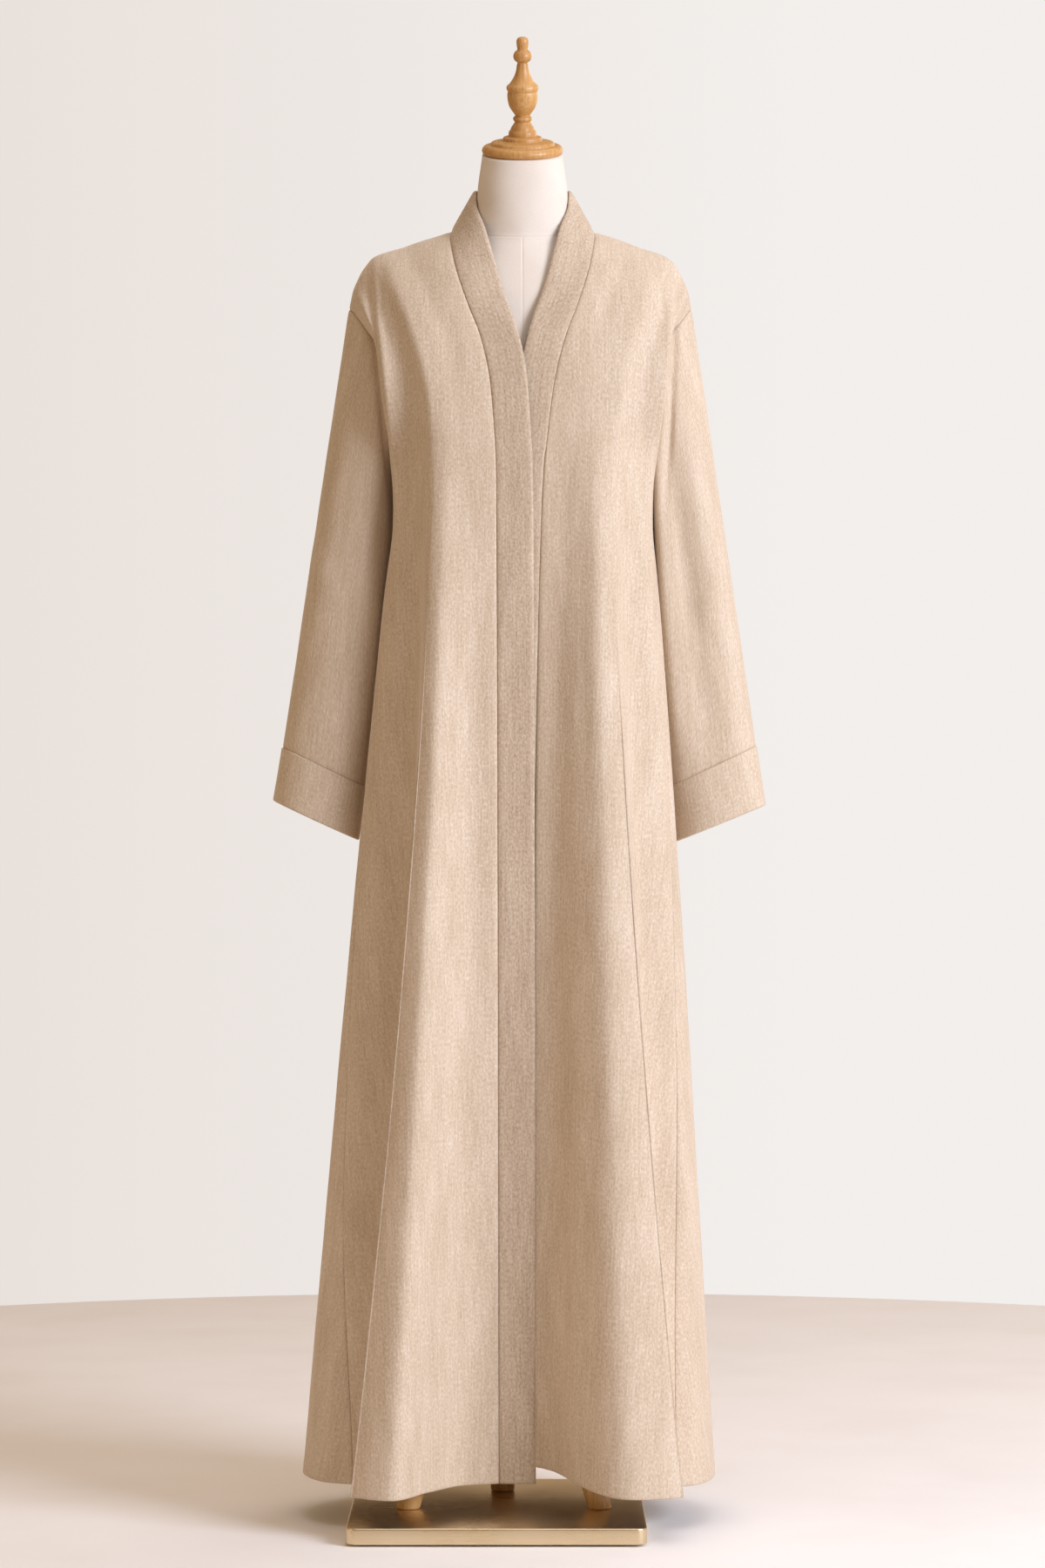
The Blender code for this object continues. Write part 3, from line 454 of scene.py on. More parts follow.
    def shoulder(self, side: Side) -> np.ndarray:
        """Points from the neck down the shoulder to the top of the armhole."""
        points = SHOULDER[side]
        return spline(points, positions_by_length(points, self.spread)) * (side.value, 1, 1)

    def patch(
        self, bottom: np.ndarray, top: np.ndarray, inner: np.ndarray, outer: np.ndarray,
        across: np.ndarray, fall_power: float = 1.0, reach_power: float = 1.0,
    ) -> np.ndarray:
        """Fill the space between four boundary lines.

        Args:
            bottom: The line at the underarm's height.
            top: The shoulder's line.
            inner: The line up the neck or the centre back.
            outer: The armhole's line.
            across: Each column's share of the way outwards.
            fall_power: How long the depth is kept before it falls towards the shoulder.
            reach_power: How close to the armhole its own curve is felt.

        Returns:
            The grid, rows upwards and columns outwards.
        """
        up = self.rise[:, None, None]
        climb = np.concatenate([up, up**fall_power, up], axis=2)
        share = across[None, :, None]
        ruled = (1 - climb) * bottom[None] + climb * top[None]
        inner_bend = inner[:, None] - ((1 - climb) * inner[0] + climb * inner[-1])
        outer_bend = outer[:, None] - ((1 - climb) * outer[0] + climb * outer[-1])
        return ruled + (1 - share) * inner_bend + share**reach_power * outer_bend

    def soften(self, grid: np.ndarray) -> np.ndarray:
        """Even out the rows beside the underarm's height, leaving the outer columns."""
        first, last = self.rows_below - 8, self.rows_below + 22
        for _ in range(60):
            middle = (grid[first - 1:last - 1, 1:-1] + grid[first + 1:last + 1, 1:-1]) / 2
            grid[first:last, 1:-1] = (grid[first:last, 1:-1] + middle) / 2
        return grid

    def side_stations(self, side: Side) -> np.ndarray:
        """The side seam's place among the fold lines at each row of the skirt."""
        return SIDE_STATION + (self.side_hem_station[side] - SIDE_STATION) * (
            1 - self.climb
        ) ** self.side_ease[side]

    def front_stations(self, side: Side) -> np.ndarray:
        """The front's columns among the fold lines, with one of them along the big fold's edge."""
        within = crowd(np.linspace(0, 1, self.edge_column + 1), 0.6) * EDGE_STATION
        beyond = crowd(np.linspace(0, 1, self.columns - self.edge_column + 1), 0.6)[1:]
        seam = self.side_stations(side)[:, None]
        inner = np.repeat(within[None], len(seam), axis=0)
        lined = np.concatenate([inner, EDGE_STATION + (seam - EDGE_STATION) * beyond[None]], axis=1)
        share = np.clip((1 - self.climb[:, None]) / 0.14, 0, 1)
        share = share * share * (3 - 2 * share)
        return lined * share + seam * self.spread[None] * (1 - share)

    def front(self, side: Side) -> np.ndarray:
        """Grid of a front, rows from hem to shoulder, columns from the band seam outwards."""
        low = self.skirt(side, self.front_stations(side))
        high = self.patch(
            low[-1], self.shoulder(side), self.neck_lines(side)[0], self.armhole(side, False), self.spread
        )
        spread = self.spread[None]
        roll = 11.0 * bump(spread, 0.86, 0.11) * np.sin(math.pi * self.rise[:, None]) ** 0.7
        high[..., 1] -= roll * (1 - spread**12)
        lean = 8.0 * bump(spread, 0.89, 0.06) * bump(self.rise[:, None], 0.38, 0.2)
        high[..., 0] += side.value * lean
        return self.soften(np.concatenate([low, high[1:]]))

    def back(self, side: Side) -> np.ndarray:
        """Grid of half the back, rows from hem to shoulder, columns from the centre outwards."""
        neck = np.linspace(BACK_STATION, NECK_STATION, self.neck_columns + 1)
        seam = self.side_stations(side)[:, None]
        rest = NECK_STATION + (seam - NECK_STATION) * self.spread[1:]
        station = np.concatenate([np.repeat(neck[None], len(seam), axis=0), rest], axis=1)
        low = self.skirt(side, station)
        top = np.concatenate([self.neck_ring(NECK_SEAM, side)[::-1], self.shoulder(side)[1:]])
        centre = [(0, y, z) for y, z in CENTRE_BACK]
        middle = spline(centre, positions_by_length(centre, self.rise))
        near = np.linspace(0, self.neck_share, self.neck_columns + 1)
        across = np.concatenate([near, self.neck_share + (1 - self.neck_share) * self.spread[1:]])
        high = self.patch(low[-1], top, middle, self.armhole(side, True), across, 3.5, 1.7)
        rise = self.rise[:, None]
        high[..., 1] += 9.0 * np.sin(math.pi * across[None]) * np.sin(math.pi * rise)
        over = np.sin(math.pi * across[None] ** 0.7)
        high[..., 2] += 25.0 * over * np.sin(math.pi * rise**2.5)
        self.ease_corner(high)
        return self.soften(np.concatenate([low, high[1:]]))

    def ease_corner(self, grid: np.ndarray) -> None:
        """Level out the crease that runs down from the neck's corner, away from the back's seams.

        Args:
            grid: Half the upper back, columns from the centre outwards, changed in place.
        """
        ends = np.clip((1 - self.rise) * 9, 0, 1) * np.clip(self.rise * 5, 0, 1)
        middle = bump(self.rise, 0.55, 0.36) * ends
        for row, strength in zip(grid, np.minimum(1.6 * middle, 1.0)):
            x = np.abs(row[:, 0])
            here, beyond = (bump(way * x[None], x[:, None], self.corner_reach) for way in (1, -1))
            near = (here + beyond) * np.gradient(x)
            smooth = near @ row[:, 1:] / near.sum(axis=1, keepdims=True)
            inside = np.clip((x[-1] - x - 12.0) / 30.0, 0, 1)[:, None]
            row[:, 1:] += (smooth - row[:, 1:]) * strength * inside

    def band(self, side: Side, front: np.ndarray) -> np.ndarray:
        """Grid of half the band, rows along its seam from hem to centre back."""
        seam = np.concatenate([front[:, 0], self.neck_ring(NECK_SEAM, side)[1:]])
        low_edge = front[:self.rows_below, 0] - np.array([side.value * self.band_width, 0, 0])
        edge = np.concatenate(
            [low_edge, self.neck_lines(side)[1], self.neck_ring(NECK_EDGE, side)[1:]]
        )
        lap = -self.lap_over if side is Side.RIGHT else self.lap_under
        fade = np.clip((self.lap_fade_z - edge[:, 2]) / (self.lap_fade_z - self.v_point_z), 0, 1)
        edge[:, 1] += lap * fade * fade * (3 - 2 * fade)
        across = crowd(np.linspace(0, 1, self.band_columns + 1), 0.6)[None, :, None]
        return seam[:, None] * (1 - across) + edge[:, None] * across

    def cuff_ring(self, ring: CuffRing, side: Side, count: int) -> np.ndarray:
        """Points round a sleeve end, from its outer corner by the front to its inner corner."""
        turn = np.arange(count) / count * 2 * math.pi
        power = 2 / self.cuff_squareness
        along = np.sign(np.cos(turn)) * np.abs(np.cos(turn)) ** power
        ahead = np.sign(np.sin(turn)) * np.abs(np.sin(turn)) ** power
        x = (ring.outer_x + ring.inner_x) / 2 + (ring.outer_x - ring.inner_x) / 2 * along
        z = (ring.outer_z + ring.inner_z) / 2 + (ring.outer_z - ring.inner_z) / 2 * along
        return np.stack([side.value * x, self.cuff_y - ring.half_depth * ahead, z], axis=1)

    def sleeve(self, side: Side, front_line: np.ndarray, back_line: np.ndarray) -> np.ndarray:
        """Grid of a sleeve from the armhole down to the cuff's seam, columns round it."""
        start = np.concatenate([front_line[::-1], back_line[1:-1]])
        end = self.cuff_ring(CUFF_SEAM[side], side, len(start))
        down = crowd(np.linspace(0, 1, self.sleeve_rows + 1), 0.6)[:, None, None]
        grid = start[None] * (1 - down) + end[None] * down
        outward = grid - grid.mean(axis=1, keepdims=True)
        outward[..., 2] = 0
        outward = units(outward)
        turn = (np.arange(len(start)) / len(start))[None, :]
        for fold in SLEEVE_FOLDS[side]:
            run = np.clip((down[..., 0] - fold.start) / (fold.end - fold.start), 0, 1)
            depth = fold.depth * np.sin(math.pi * run) * bump(turn, fold.turn, fold.width)
            grid += outward * depth[..., None]
        return grid

    def cuff(self, side: Side, count: int) -> np.ndarray:
        """Grid of a cuff from its seam to its lower edge."""
        start = self.cuff_ring(CUFF_SEAM[side], side, count)
        end = self.cuff_ring(CUFF_EDGE[side], side, count)
        down = crowd(np.linspace(0, 1, self.cuff_rows + 1), 0.6)[:, None, None]
        grid = start[None] * (1 - down) + end[None] * down
        return grid + units(grid - grid.mean(axis=1, keepdims=True)) * self.cuff_proud


def place_shift() -> Vector:
    """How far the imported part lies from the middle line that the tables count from, in metres."""
    low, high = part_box("base_plate")
    middle = (Vector(low) + Vector(high)) / 2
    return Vector((middle.x + 0.0285, middle.y + 0.035, 0.0))


SHIFT = place_shift()


@dataclass
class ClothPanel:
    """One cut piece of cloth: a grid of its outer face that is given a closed, rounded wall."""

    name: str
    grid: np.ndarray
    normals: np.ndarray
    thickness: float
    tube: bool = False
    free_edges: tuple[Edge, ...] = ()
    seam_edges: tuple[Edge, ...] = ()
    hem_turning: float = 0.0
    upright_from: int | None = None
    seam_depth: float = 1.3
    seam_width: float = 1.7
    edge_roll: float = 1.3

    def distance(self, edge: Edge) -> np.ndarray:
        """Length along the cloth from an edge to each point."""
        axis = 0 if edge in (Edge.LOW, Edge.HIGH) else 1
        lengths = run_lengths(self.grid, axis)
        if edge in (Edge.HIGH, Edge.OUTER):
            return np.take(lengths, [-1], axis=axis) - lengths
        return lengths

    def relief(self) -> None:
        """Press in the seams, raise the turned hem and lay the soft creases."""
        offset = np.zeros(self.grid.shape[:2])
        for edge in self.seam_edges:
            offset -= self.seam_depth * np.exp(-self.distance(edge) / self.seam_width)
        if self.hem_turning:
            above = self.distance(Edge.LOW)
            offset += 0.35 / (1 + np.exp((above - self.hem_turning - 1.5) / 0.8))
            offset -= 0.8 * bump(above, self.hem_turning, 1.5)
        if Edge.OUTER in self.free_edges:
            offset -= self.edge_roll * np.exp(-self.distance(Edge.OUTER) / 1.5)
        x, z = self.grid[..., 0], self.grid[..., 2]
        for crease in CREASES:
            way = np.array([crease.to_x - crease.from_x, crease.to_z - crease.from_z])
            length = float(np.linalg.norm(way))
            along = ((x - crease.from_x) * way[0] + (z - crease.from_z) * way[1]) / length**2
            aside = ((x - crease.from_x) * way[1] - (z - crease.from_z) * way[0]) / length
            taper = np.exp(-((2 * along - 1) ** 4))
            facing = np.clip(crease.facing * self.normals[..., 1] * 2, 0, 1)
            offset += crease.height * np.exp(-((aside / crease.width) ** 2)) * taper * facing
        y = self.grid[..., 1]
        slow = np.sin((0.83 * x + 0.55 * y) / 9.5 + np.sin(z / 83) * 1.3) * np.sin(z / 61 + x / 47)
        quick = np.sin((0.70 * x - 0.71 * y) / 5.1 + z / 39) * np.sin(z / 23 + y / 31)
        offset += 0.30 * slow + 0.10 * quick
        self.grid = self.grid + self.normals * offset[..., None]

    def grain(self) -> tuple[np.ndarray, np.ndarray]:
        """The cloth's own coordinates in metres, across and along the grain, and a tube's girth."""
        along = run_lengths(self.grid, 0)
        across = run_lengths(self.grid, 1)
        girth = np.zeros(len(across))
        if self.tube:
            girth = across[:, -1] + np.linalg.norm(self.grid[:, 0] - self.grid[:, -1], axis=1)
            across[:, self.grid.shape[1] // 2:] -= girth[:, None]
        elif self.upright_from is not None:
            start = self.upright_from
            across = run_lengths(self.grid * (1, 1, 0), 1)
            across += np.abs(self.grid[:, start, 0])[:, None] - across[:, start][:, None]
        return np.stack([across, along], axis=2) * MM, girth * MM

    def rim(self) -> tuple[np.ndarray, np.ndarray]:
        """The loop of points round the panel and how far each one's edge bulges out."""
        rows, columns = self.grid.shape[:2]
        index = np.arange(rows * columns).reshape(rows, columns)
        bulge = np.zeros((rows, columns, 3))
        lines = {Edge.LOW: (0, 1, 0), Edge.HIGH: (-1, -2, 0), Edge.INNER: (0, 1, 1), Edge.OUTER: (-1, -2, 1)}
        for edge in self.free_edges:
            at, beside, axis = lines[edge]
            place = (at, slice(None)) if axis == 0 else (slice(None), at)
            inside = (beside, slice(None)) if axis == 0 else (slice(None), beside)
            bulge[place] += units(self.grid[place] - self.grid[inside]) * self.thickness * 0.42
        if self.tube:
            return np.stack([index[0], index[-1]]), bulge.reshape(-1, 3)
        loop = np.concatenate([index[0, :-1], index[:-1, -1], index[-1, :0:-1], index[:0:-1, 0]])
        return loop[None], bulge.reshape(-1, 3)

    def build(self, material: bpy.types.Material) -> bpy.types.Object:
        """Make the closed wall with its grain map.

        Args:
            material: The cloth it is cut from.

        Returns:
            The finished piece.
        """
        self.relief()
        rows, columns = self.grid.shape[:2]
        outer = self.grid.reshape(-1, 3)
        inner = (self.grid - self.normals * self.thickness).reshape(-1, 3)
        loops, bulge = self.rim()
        count = rows * columns
        middle = (outer + inner) / 2 + bulge
        rim_ids = np.full(count, -1)
        used = np.unique(loops)
        rim_ids[used] = 2 * count + np.arange(len(used))
        index = np.arange(count).reshape(rows, columns)
        right = np.roll(index, -1, 1) if self.tube else index[:, 1:]
        left = index if self.tube else index[:, :-1]
        corners = np.stack([left[:-1], right[:-1], right[1:], left[1:]], axis=2).reshape(-1, 4)
        faces = [corners, corners[:, ::-1] + count]
        for loop in loops:
            after = np.roll(loop, -1)
            faces.append(np.stack([loop, after, rim_ids[after], rim_ids[loop]], axis=1))
            faces.append(np.stack([rim_ids[loop], rim_ids[after], after + count, loop + count], axis=1))
        faces = np.concatenate(faces)
        places = np.concatenate([outer, inner, middle[used]]) * MM + np.array(SHIFT)
        mesh = bpy.data.meshes.new(self.name)
        mesh.from_pydata(places.tolist(), [], faces.tolist())
        self.map_grain(mesh, faces, count, columns, used)
        shaped = bmesh.new()
        shaped.from_mesh(mesh)
        bmesh.ops.recalc_face_normals(shaped, faces=shaped.faces)
        shaped.to_mesh(mesh)
        shaped.free()
        mesh.shade_smooth()
        mesh.materials.append(material)
        piece = bpy.data.objects.new(self.name, mesh)
        bpy.context.scene.collection.objects.link(piece)
        return piece

    def map_grain(
        self, mesh: bpy.types.Mesh, faces: np.ndarray, count: int, columns: int, used: np.ndarray
    ) -> None:
        """Write the cloth's own coordinates into the mesh's map.

        Args:
            mesh: The wall's mesh.
            faces: Its corners, four to a face.
            count: How many points each skin has.
            columns: How many of them lie across.
            used: The points that have a rim point.
        """
        grain, girth = self.grain()
        flat = grain.reshape(-1, 2)
        every = np.concatenate([flat, flat, flat[used]])[faces]
        if self.tube:
            source = np.concatenate([np.arange(count), np.arange(count), used])[faces]
            half = columns // 2
            column = source % columns
            wraps = (column == half - 1).any(axis=1) & (column == half).any(axis=1)
            lift = wraps[:, None] & (column == half)
            every[..., 0] += np.where(lift, girth[source // columns], 0)
        layer = mesh.uv_layers.new(name="grain")
        layer.data.foreach_set("uv", every.reshape(-1).astype(np.float32))


@dataclass(frozen=True)
class Cut:
    """What shows of a piece before it is sewn: its greatest width and length, and its area."""

    width: float
    length: float
    area: float


@dataclass
class Cloak:
    """The nine cut pieces, sewn so that neighbours share their seams."""

    shape: CloakShape = field(default_factory=CloakShape)
    fabric: float = 2.0
    band: float = 2.4
    cuff: float = 3.0
    gap: float = 0.3
    armhole_ease: float = 0.45
    hem_turning: float = 15.0
    cuts: dict = field(
        default_factory=lambda: {
            "front_right": Cut(0.320, 1.480, 0.339),
            "front_left": Cut(0.305, 1.470, 0.312),
            "back": Cut(0.910, 1.475, 0.878),
            "band_right": Cut(0.046, 1.61, 0.0655),
            "band_left": Cut(0.046, 1.60, 0.0655),
            "sleeve_right": Cut(0.450, 0.510, 0.138),
            "sleeve_left": Cut(0.450, 0.510, 0.140),
            "cuff_right": Cut(0.338, 0.060, 0.0195),
            "cuff_left": Cut(0.345, 0.065, 0.0215),
        }
    )

    @staticmethod
    def share(first: np.ndarray, at: tuple, second: np.ndarray, beside: tuple, lean: float = 0.0) -> None:
        """Give two panels one normal along their seam, leaning into a sharp crease."""
        total = units(first[at] + second[beside] + lean)
        first[at] = total
        second[beside] = total

    @staticmethod
    def draw_back(grid: np.ndarray, edge: Edge, amount: float) -> None:
        """Move a grid's edge inwards by half of a seam's gap."""
        lines = np.swapaxes(grid, 0, 1) if edge in (Edge.INNER, Edge.OUTER) else grid
        at, beside = (0, 1) if edge in (Edge.LOW, Edge.INNER) else (-1, -2)
        lines[at] += units(lines[beside] - lines[at]) * amount

    @staticmethod
    def lay_in_plane(normals: np.ndarray, ring: np.ndarray) -> np.ndarray:
        """Turn a flat ring's normals into its own plane, so that its wall ends square."""
        quarter = len(ring) // 4
        axis = units(np.cross(ring[0] - ring[2 * quarter], ring[quarter] - ring[3 * quarter]))
        return units(normals - (normals @ axis)[:, None] * axis)

    def panels(self) -> list[ClothPanel]:
        """Work out the nine panels with shared normals along their seams.

        Returns:
            The panels, seams drawn back by half the gap.
        """
        shape, half = self.shape, self.gap / 2
        below, above, neck_count = shape.rows_below, shape.rows_above, shape.neck_columns
        backs = {side: shape.back(side) for side in Side}
        back = np.concatenate([backs[Side.RIGHT][:, ::-1], backs[Side.LEFT][:, 1:]], axis=1)
        back_normals = -grid_normals(back)
        centre = backs[Side.RIGHT].shape[1] - 1
        panels = []
        for side in Side:
            sign = side.value
            front = shape.front(side)
            front_normals = sign * grid_normals(front)
            band = shape.band(side, front)
            band_normals = -sign * grid_normals(band)
            sleeve = shape.sleeve(side, front[below:, -1], backs[side][below:, -1])
            sleeve_normals = sign * grid_normals(sleeve, tube=True)
            sleeve_normals[-1] = self.lay_in_plane(sleeve_normals[-1], sleeve[-1])
            outer = 0 if side is Side.RIGHT else back.shape[1] - 1
            shoulder = [centre + sign * (neck_count + step) for step in range(shape.columns + 1)]
            neck = [centre + sign * step for step in range(neck_count, -1, -1)]
            skirt_rows = slice(0, below)
            self.share(front_normals, (skirt_rows, -1), back_normals, (skirt_rows, outer))
            self.share(front_normals, (-1, slice(None)), back_normals, (-1, shoulder))
            rows = len(front)
            self.share(band_normals, (slice(0, rows), 0), front_normals, (slice(None), 0))
            self.share(band_normals, (slice(rows - 1, None), 0), back_normals, (-1, neck))
            ahead = list(range(above + 1))
            front_rows = [below + above - step for step in ahead]
            behind = list(range(above + 1, 2 * above))
            back_rows = [below + step - above for step in behind]
            into_sleeve = units(sleeve[1] - sleeve[0])
            into_front = units(front[front_rows, -2] - front[front_rows, -1])
            into_back = units(back[back_rows, outer - sign] - back[back_rows, outer])
            self.share(
                sleeve_normals, (0, ahead), front_normals, (front_rows, -1), into_sleeve[ahead] + into_front
            )
            self.share(
                sleeve_normals, (0, behind), back_normals, (back_rows, outer), into_sleeve[behind] + into_back
            )
            back_normals[below, outer] = front_normals[below, -1]
            back_normals[-1, outer] = front_normals[-1, -1]
            band_normals[-1, :, 0] = 0
            for grid, edge in (
                (front, Edge.INNER), (front, Edge.OUTER), (front, Edge.HIGH), (band, Edge.INNER),
                (band, Edge.HIGH), (sleeve, Edge.HIGH),
            ):
                self.draw_back(grid, edge, half)
            self.draw_back(sleeve, Edge.LOW, self.armhole_ease)
            cuff = shape.cuff(side, sleeve.shape[1])
            cuff_normals = sign * grid_normals(cuff, tube=True)
            for end in (0, -1):
                cuff_normals[end] = self.lay_in_plane(cuff_normals[end], cuff[end])
            self.draw_back(cuff, Edge.LOW, half)
            word = side.word
            panels += [
                ClothPanel(
                    "front_" + word, front, front_normals, self.fabric, free_edges=(Edge.LOW,),
                    seam_edges=(Edge.INNER, Edge.OUTER, Edge.HIGH), hem_turning=self.hem_turning,
                    upright_from=0,
                ),
                ClothPanel(
                    "band_" + word, band, band_normals, self.band, free_edges=(Edge.LOW, Edge.OUTER),
                    seam_edges=(Edge.INNER, Edge.HIGH),
                ),
                ClothPanel(
                    "sleeve_" + word, sleeve, sleeve_normals, self.fabric, tube=True,
                    seam_edges=(Edge.LOW, Edge.HIGH),
                ),
                ClothPanel(
                    "cuff_" + word, cuff, cuff_normals, self.cuff, tube=True,
                    free_edges=(Edge.LOW, Edge.HIGH), seam_edges=(),
                ),
            ]
        for edge in (Edge.INNER, Edge.OUTER, Edge.HIGH):
            self.draw_back(back, edge, half)
        panels.append(
            ClothPanel(
                "back", back, back_normals, self.fabric, free_edges=(Edge.LOW,),
                seam_edges=(Edge.INNER, Edge.OUTER, Edge.HIGH), hem_turning=self.hem_turning,
                upright_from=centre,
            )
        )
        return panels

    def build(self, cloth: bpy.types.Material, band_cloth: bpy.types.Material) -> None:
        """Sew the cloak and set each piece on the part.

        Args:
            cloth: The material of the body, sleeves and cuffs.
            band_cloth: The material of the neck and front band.
        """
        for panel in self.panels():
            is_band = panel.name.startswith("band")
            node, panel.name = panel.name, "abaya_" + panel.name
            piece = panel.build(band_cloth if is_band else cloth)
            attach(piece, "root")
            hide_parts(node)
            LOG.info("%s: %d faces", piece.name, len(piece.data.polygons))


@dataclass
class DressForm:
    """The limbless form: a padded torso and neck under jersey, with sewn neck and front seams."""

    rows: tuple[FormRow, ...] = (
        FormRow(800, 92, 66, 72, 4, 2.3, 0),
        FormRow(806, 118, 84, 90, 4, 2.3, 0),
        FormRow(830, 136, 92, 98, 4, 2.3, 0),
        FormRow(880, 142, 93, 99, 4, 2.3, 0),
        FormRow(960, 132, 90, 92, 2, 2.3, 0),
        FormRow(1050, 108, 80, 70, 0, 2.3, 0),
        FormRow(1130, 122, 90, 80, 0, 2.3, 0),
        FormRow(1210, 136, 103, 87, -2, 2.3, 0),
        FormRow(1260, 137, 103, 90, -2, 2.2, 0),
        FormRow(1310, 140, 99, 92, -2, 2.1, 0),
        FormRow(1360, 152, 89, 87, 0, 1.9, 0),
        FormRow(1395, 162, 75, 79, 2, 1.8, 9),
        FormRow(1420, 167, 61, 68, 4, 1.65, 16),
        FormRow(1433, 167, 48, 54, 5, 1.45, 25),
        FormRow(1439.4, 163, 40, 44, 6, 1.3, 31),
        FormRow(1446.4, 149, 35, 40, 6, 1.15, 33),
        FormRow(1456.6, 127, 34, 40, 6, 1.1, 28.5),
        FormRow(1464.1, 104, 36, 42, 5, 1.15, 24.4),
        FormRow(1470, 80, 41, 48, 2, 1.3, 16.3),
        FormRow(1480, 60, 45, 53, -1, 1.8, 8),
        FormRow(1495, 53.2, 48.5, 53, -2, 2.1, 3),
        FormRow(1520, 51.6, 49, 50, -5, 2.2, 0),
        FormRow(1560, 46.0, 45, 46, -9, 2.1, 0),
    )
    chest_width: float = 62.0
    middle_ease: float = 10.0
    nape_share: float = 0.7
    neck_tilt: float = 18.0
    tilt_start_z: float = 1475.0
    seam_middle_z: float = 1470.0
    seam_slope: float = 0.2
    seam_depth: float = 0.4
    seam_width: float = 0.9

    def levels(self) -> np.ndarray:
        """Heights of the fine rows, crowded where the neck's seam runs."""
        return np.concatenate(
            [np.linspace(800, 1448, 110)[:-1], np.linspace(1448, 1486, 56)[:-1], np.linspace(1486, 1560, 26)]
        )

    def turns(self) -> np.ndarray:
        """Angles round a ring, crowded at the centre front."""
        even = np.linspace(0, 1, 181)[:-1]
        return (even + 0.75) * 2 * math.pi - 0.75 * np.sin(even * 2 * math.pi)

    def points(self) -> np.ndarray:
        """Points of the torso and neck, rows upwards, with the seams pressed in."""
        table = [
            (row.z, row.half_width, row.front, row.back, row.centre_y, row.squareness, row.chest)
            for row in self.rows
        ]
        fine = spline(table, np.linspace(0, len(table) - 1, 900))
        z = self.levels()
        wide, front, back, centre, square, chest = (
            sum(np.interp(z + step, fine[:, 0], fine[:, k]) for step in (-5, -2, 2, 5)) / 4 for k in range(1, 7)
        )
        turn = self.turns()[None]
        power = (2 / square)[:, None]
        x = wide[:, None] * np.sign(np.cos(turn)) * np.abs(np.cos(turn)) ** power
        depth = np.where(np.sin(turn) > 0, back[:, None], front[:, None])
        reach = np.abs(x) / wide[:, None]
        eased = np.hypot(reach, self.middle_ease / wide[:, None] * (1 - reach**2))
        y = depth * np.sign(np.sin(turn)) * (1 - np.minimum(eased, 1) ** square[:, None]) ** (power / 2)
        fullness = chest[:, None] * np.exp(-((x / self.chest_width) ** 4))
        y += np.where(np.sin(turn) > 0, self.nape_share, -1) * fullness
        rise = np.clip((z - self.tilt_start_z) / (z[-1] - self.tilt_start_z), 0, None)[:, None]
        level = z[:, None] + y * math.tan(math.radians(self.neck_tilt)) * rise
        grid = np.dstack([x, centre[:, None] + y, level])
        return self.press_seams(grid)

    def press_seams(self, grid: np.ndarray) -> np.ndarray:
        """Press the neck's seam and the centre-front seam into the surface."""
        normals = -grid_normals(grid, tube=True)
        outward = grid - grid.mean(axis=1, keepdims=True)
        normals *= np.sign((normals * outward).sum(axis=2, keepdims=True))
        x, y, z = grid[..., 0], grid[..., 1], grid[..., 2]
        above = z - (self.seam_middle_z + self.seam_slope * y)
        dent = bump(above, 0, self.seam_width)
        dent = np.maximum(dent, bump(x, 0, self.seam_width * 0.8) * (y < 0) * (above < 0))
        return grid - normals * (self.seam_depth * dent)[..., None]

    def build(self, jersey: bpy.types.Material) -> None:
        """Make the covered torso.

        Args:
            jersey: The form's cover.
        """
        grid = self.points()
        rows, columns = grid.shape[:2]
        index = np.arange(rows * columns).reshape(rows, columns)
        right = np.roll(index, -1, 1)
        faces = np.stack([index[:-1], right[:-1], right[1:], index[1:]], axis=2).reshape(-1, 4).tolist()
        faces += [index[0].tolist(), index[-1].tolist()]
        mesh = bpy.data.meshes.new("dress_form")
        mesh.from_pydata((grid.reshape(-1, 3) * MM + np.array(SHIFT)).tolist(), [], faces)
        piece = finish_piece("dress_form", mesh, jersey, ("form_torso",))
        LOG.info("%s: %d faces", piece.name, len(piece.data.polygons))


def finish_piece(
    name: str, mesh: bpy.types.Mesh, material: bpy.types.Material, nodes: tuple[str, ...]
) -> bpy.types.Object:
    """Turn a mesh's faces outwards, dress it and set it on the part.

    Args:
        name: The piece's name.
        mesh: Its mesh, already in place.
        material: Its finish.
        nodes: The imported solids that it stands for.

    Returns:
        The piece.
    """
    shaped = bmesh.new()
    shaped.from_mesh(mesh)
    bmesh.ops.remove_doubles(shaped, verts=shaped.verts, dist=1e-6)
    bmesh.ops.recalc_face_normals(shaped, faces=shaped.faces)
    shaped.to_mesh(mesh)
    shaped.free()
    mesh.shade_smooth()
    mesh.materials.clear()
    mesh.materials.append(material)
    piece = bpy.data.objects.get(name)
    if piece is None:
        piece = bpy.data.objects.new(name, mesh)
        bpy.context.scene.collection.objects.link(piece)
    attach(piece, "root")
    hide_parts(*nodes)
    return piece


def start_edit(name: str) -> bpy.types.Object:
    """Deselect everything, add an empty mesh object at the origin and open it in edit mode."""
    bpy.ops.object.select_all(action="DESELECT")
    piece = bpy.data.objects.new(name, bpy.data.meshes.new(name))
    bpy.context.scene.collection.objects.link(piece)
    bpy.context.view_layer.objects.active = piece
    piece.select_set(True)
    bpy.ops.object.mode_set(mode="EDIT")
    return piece


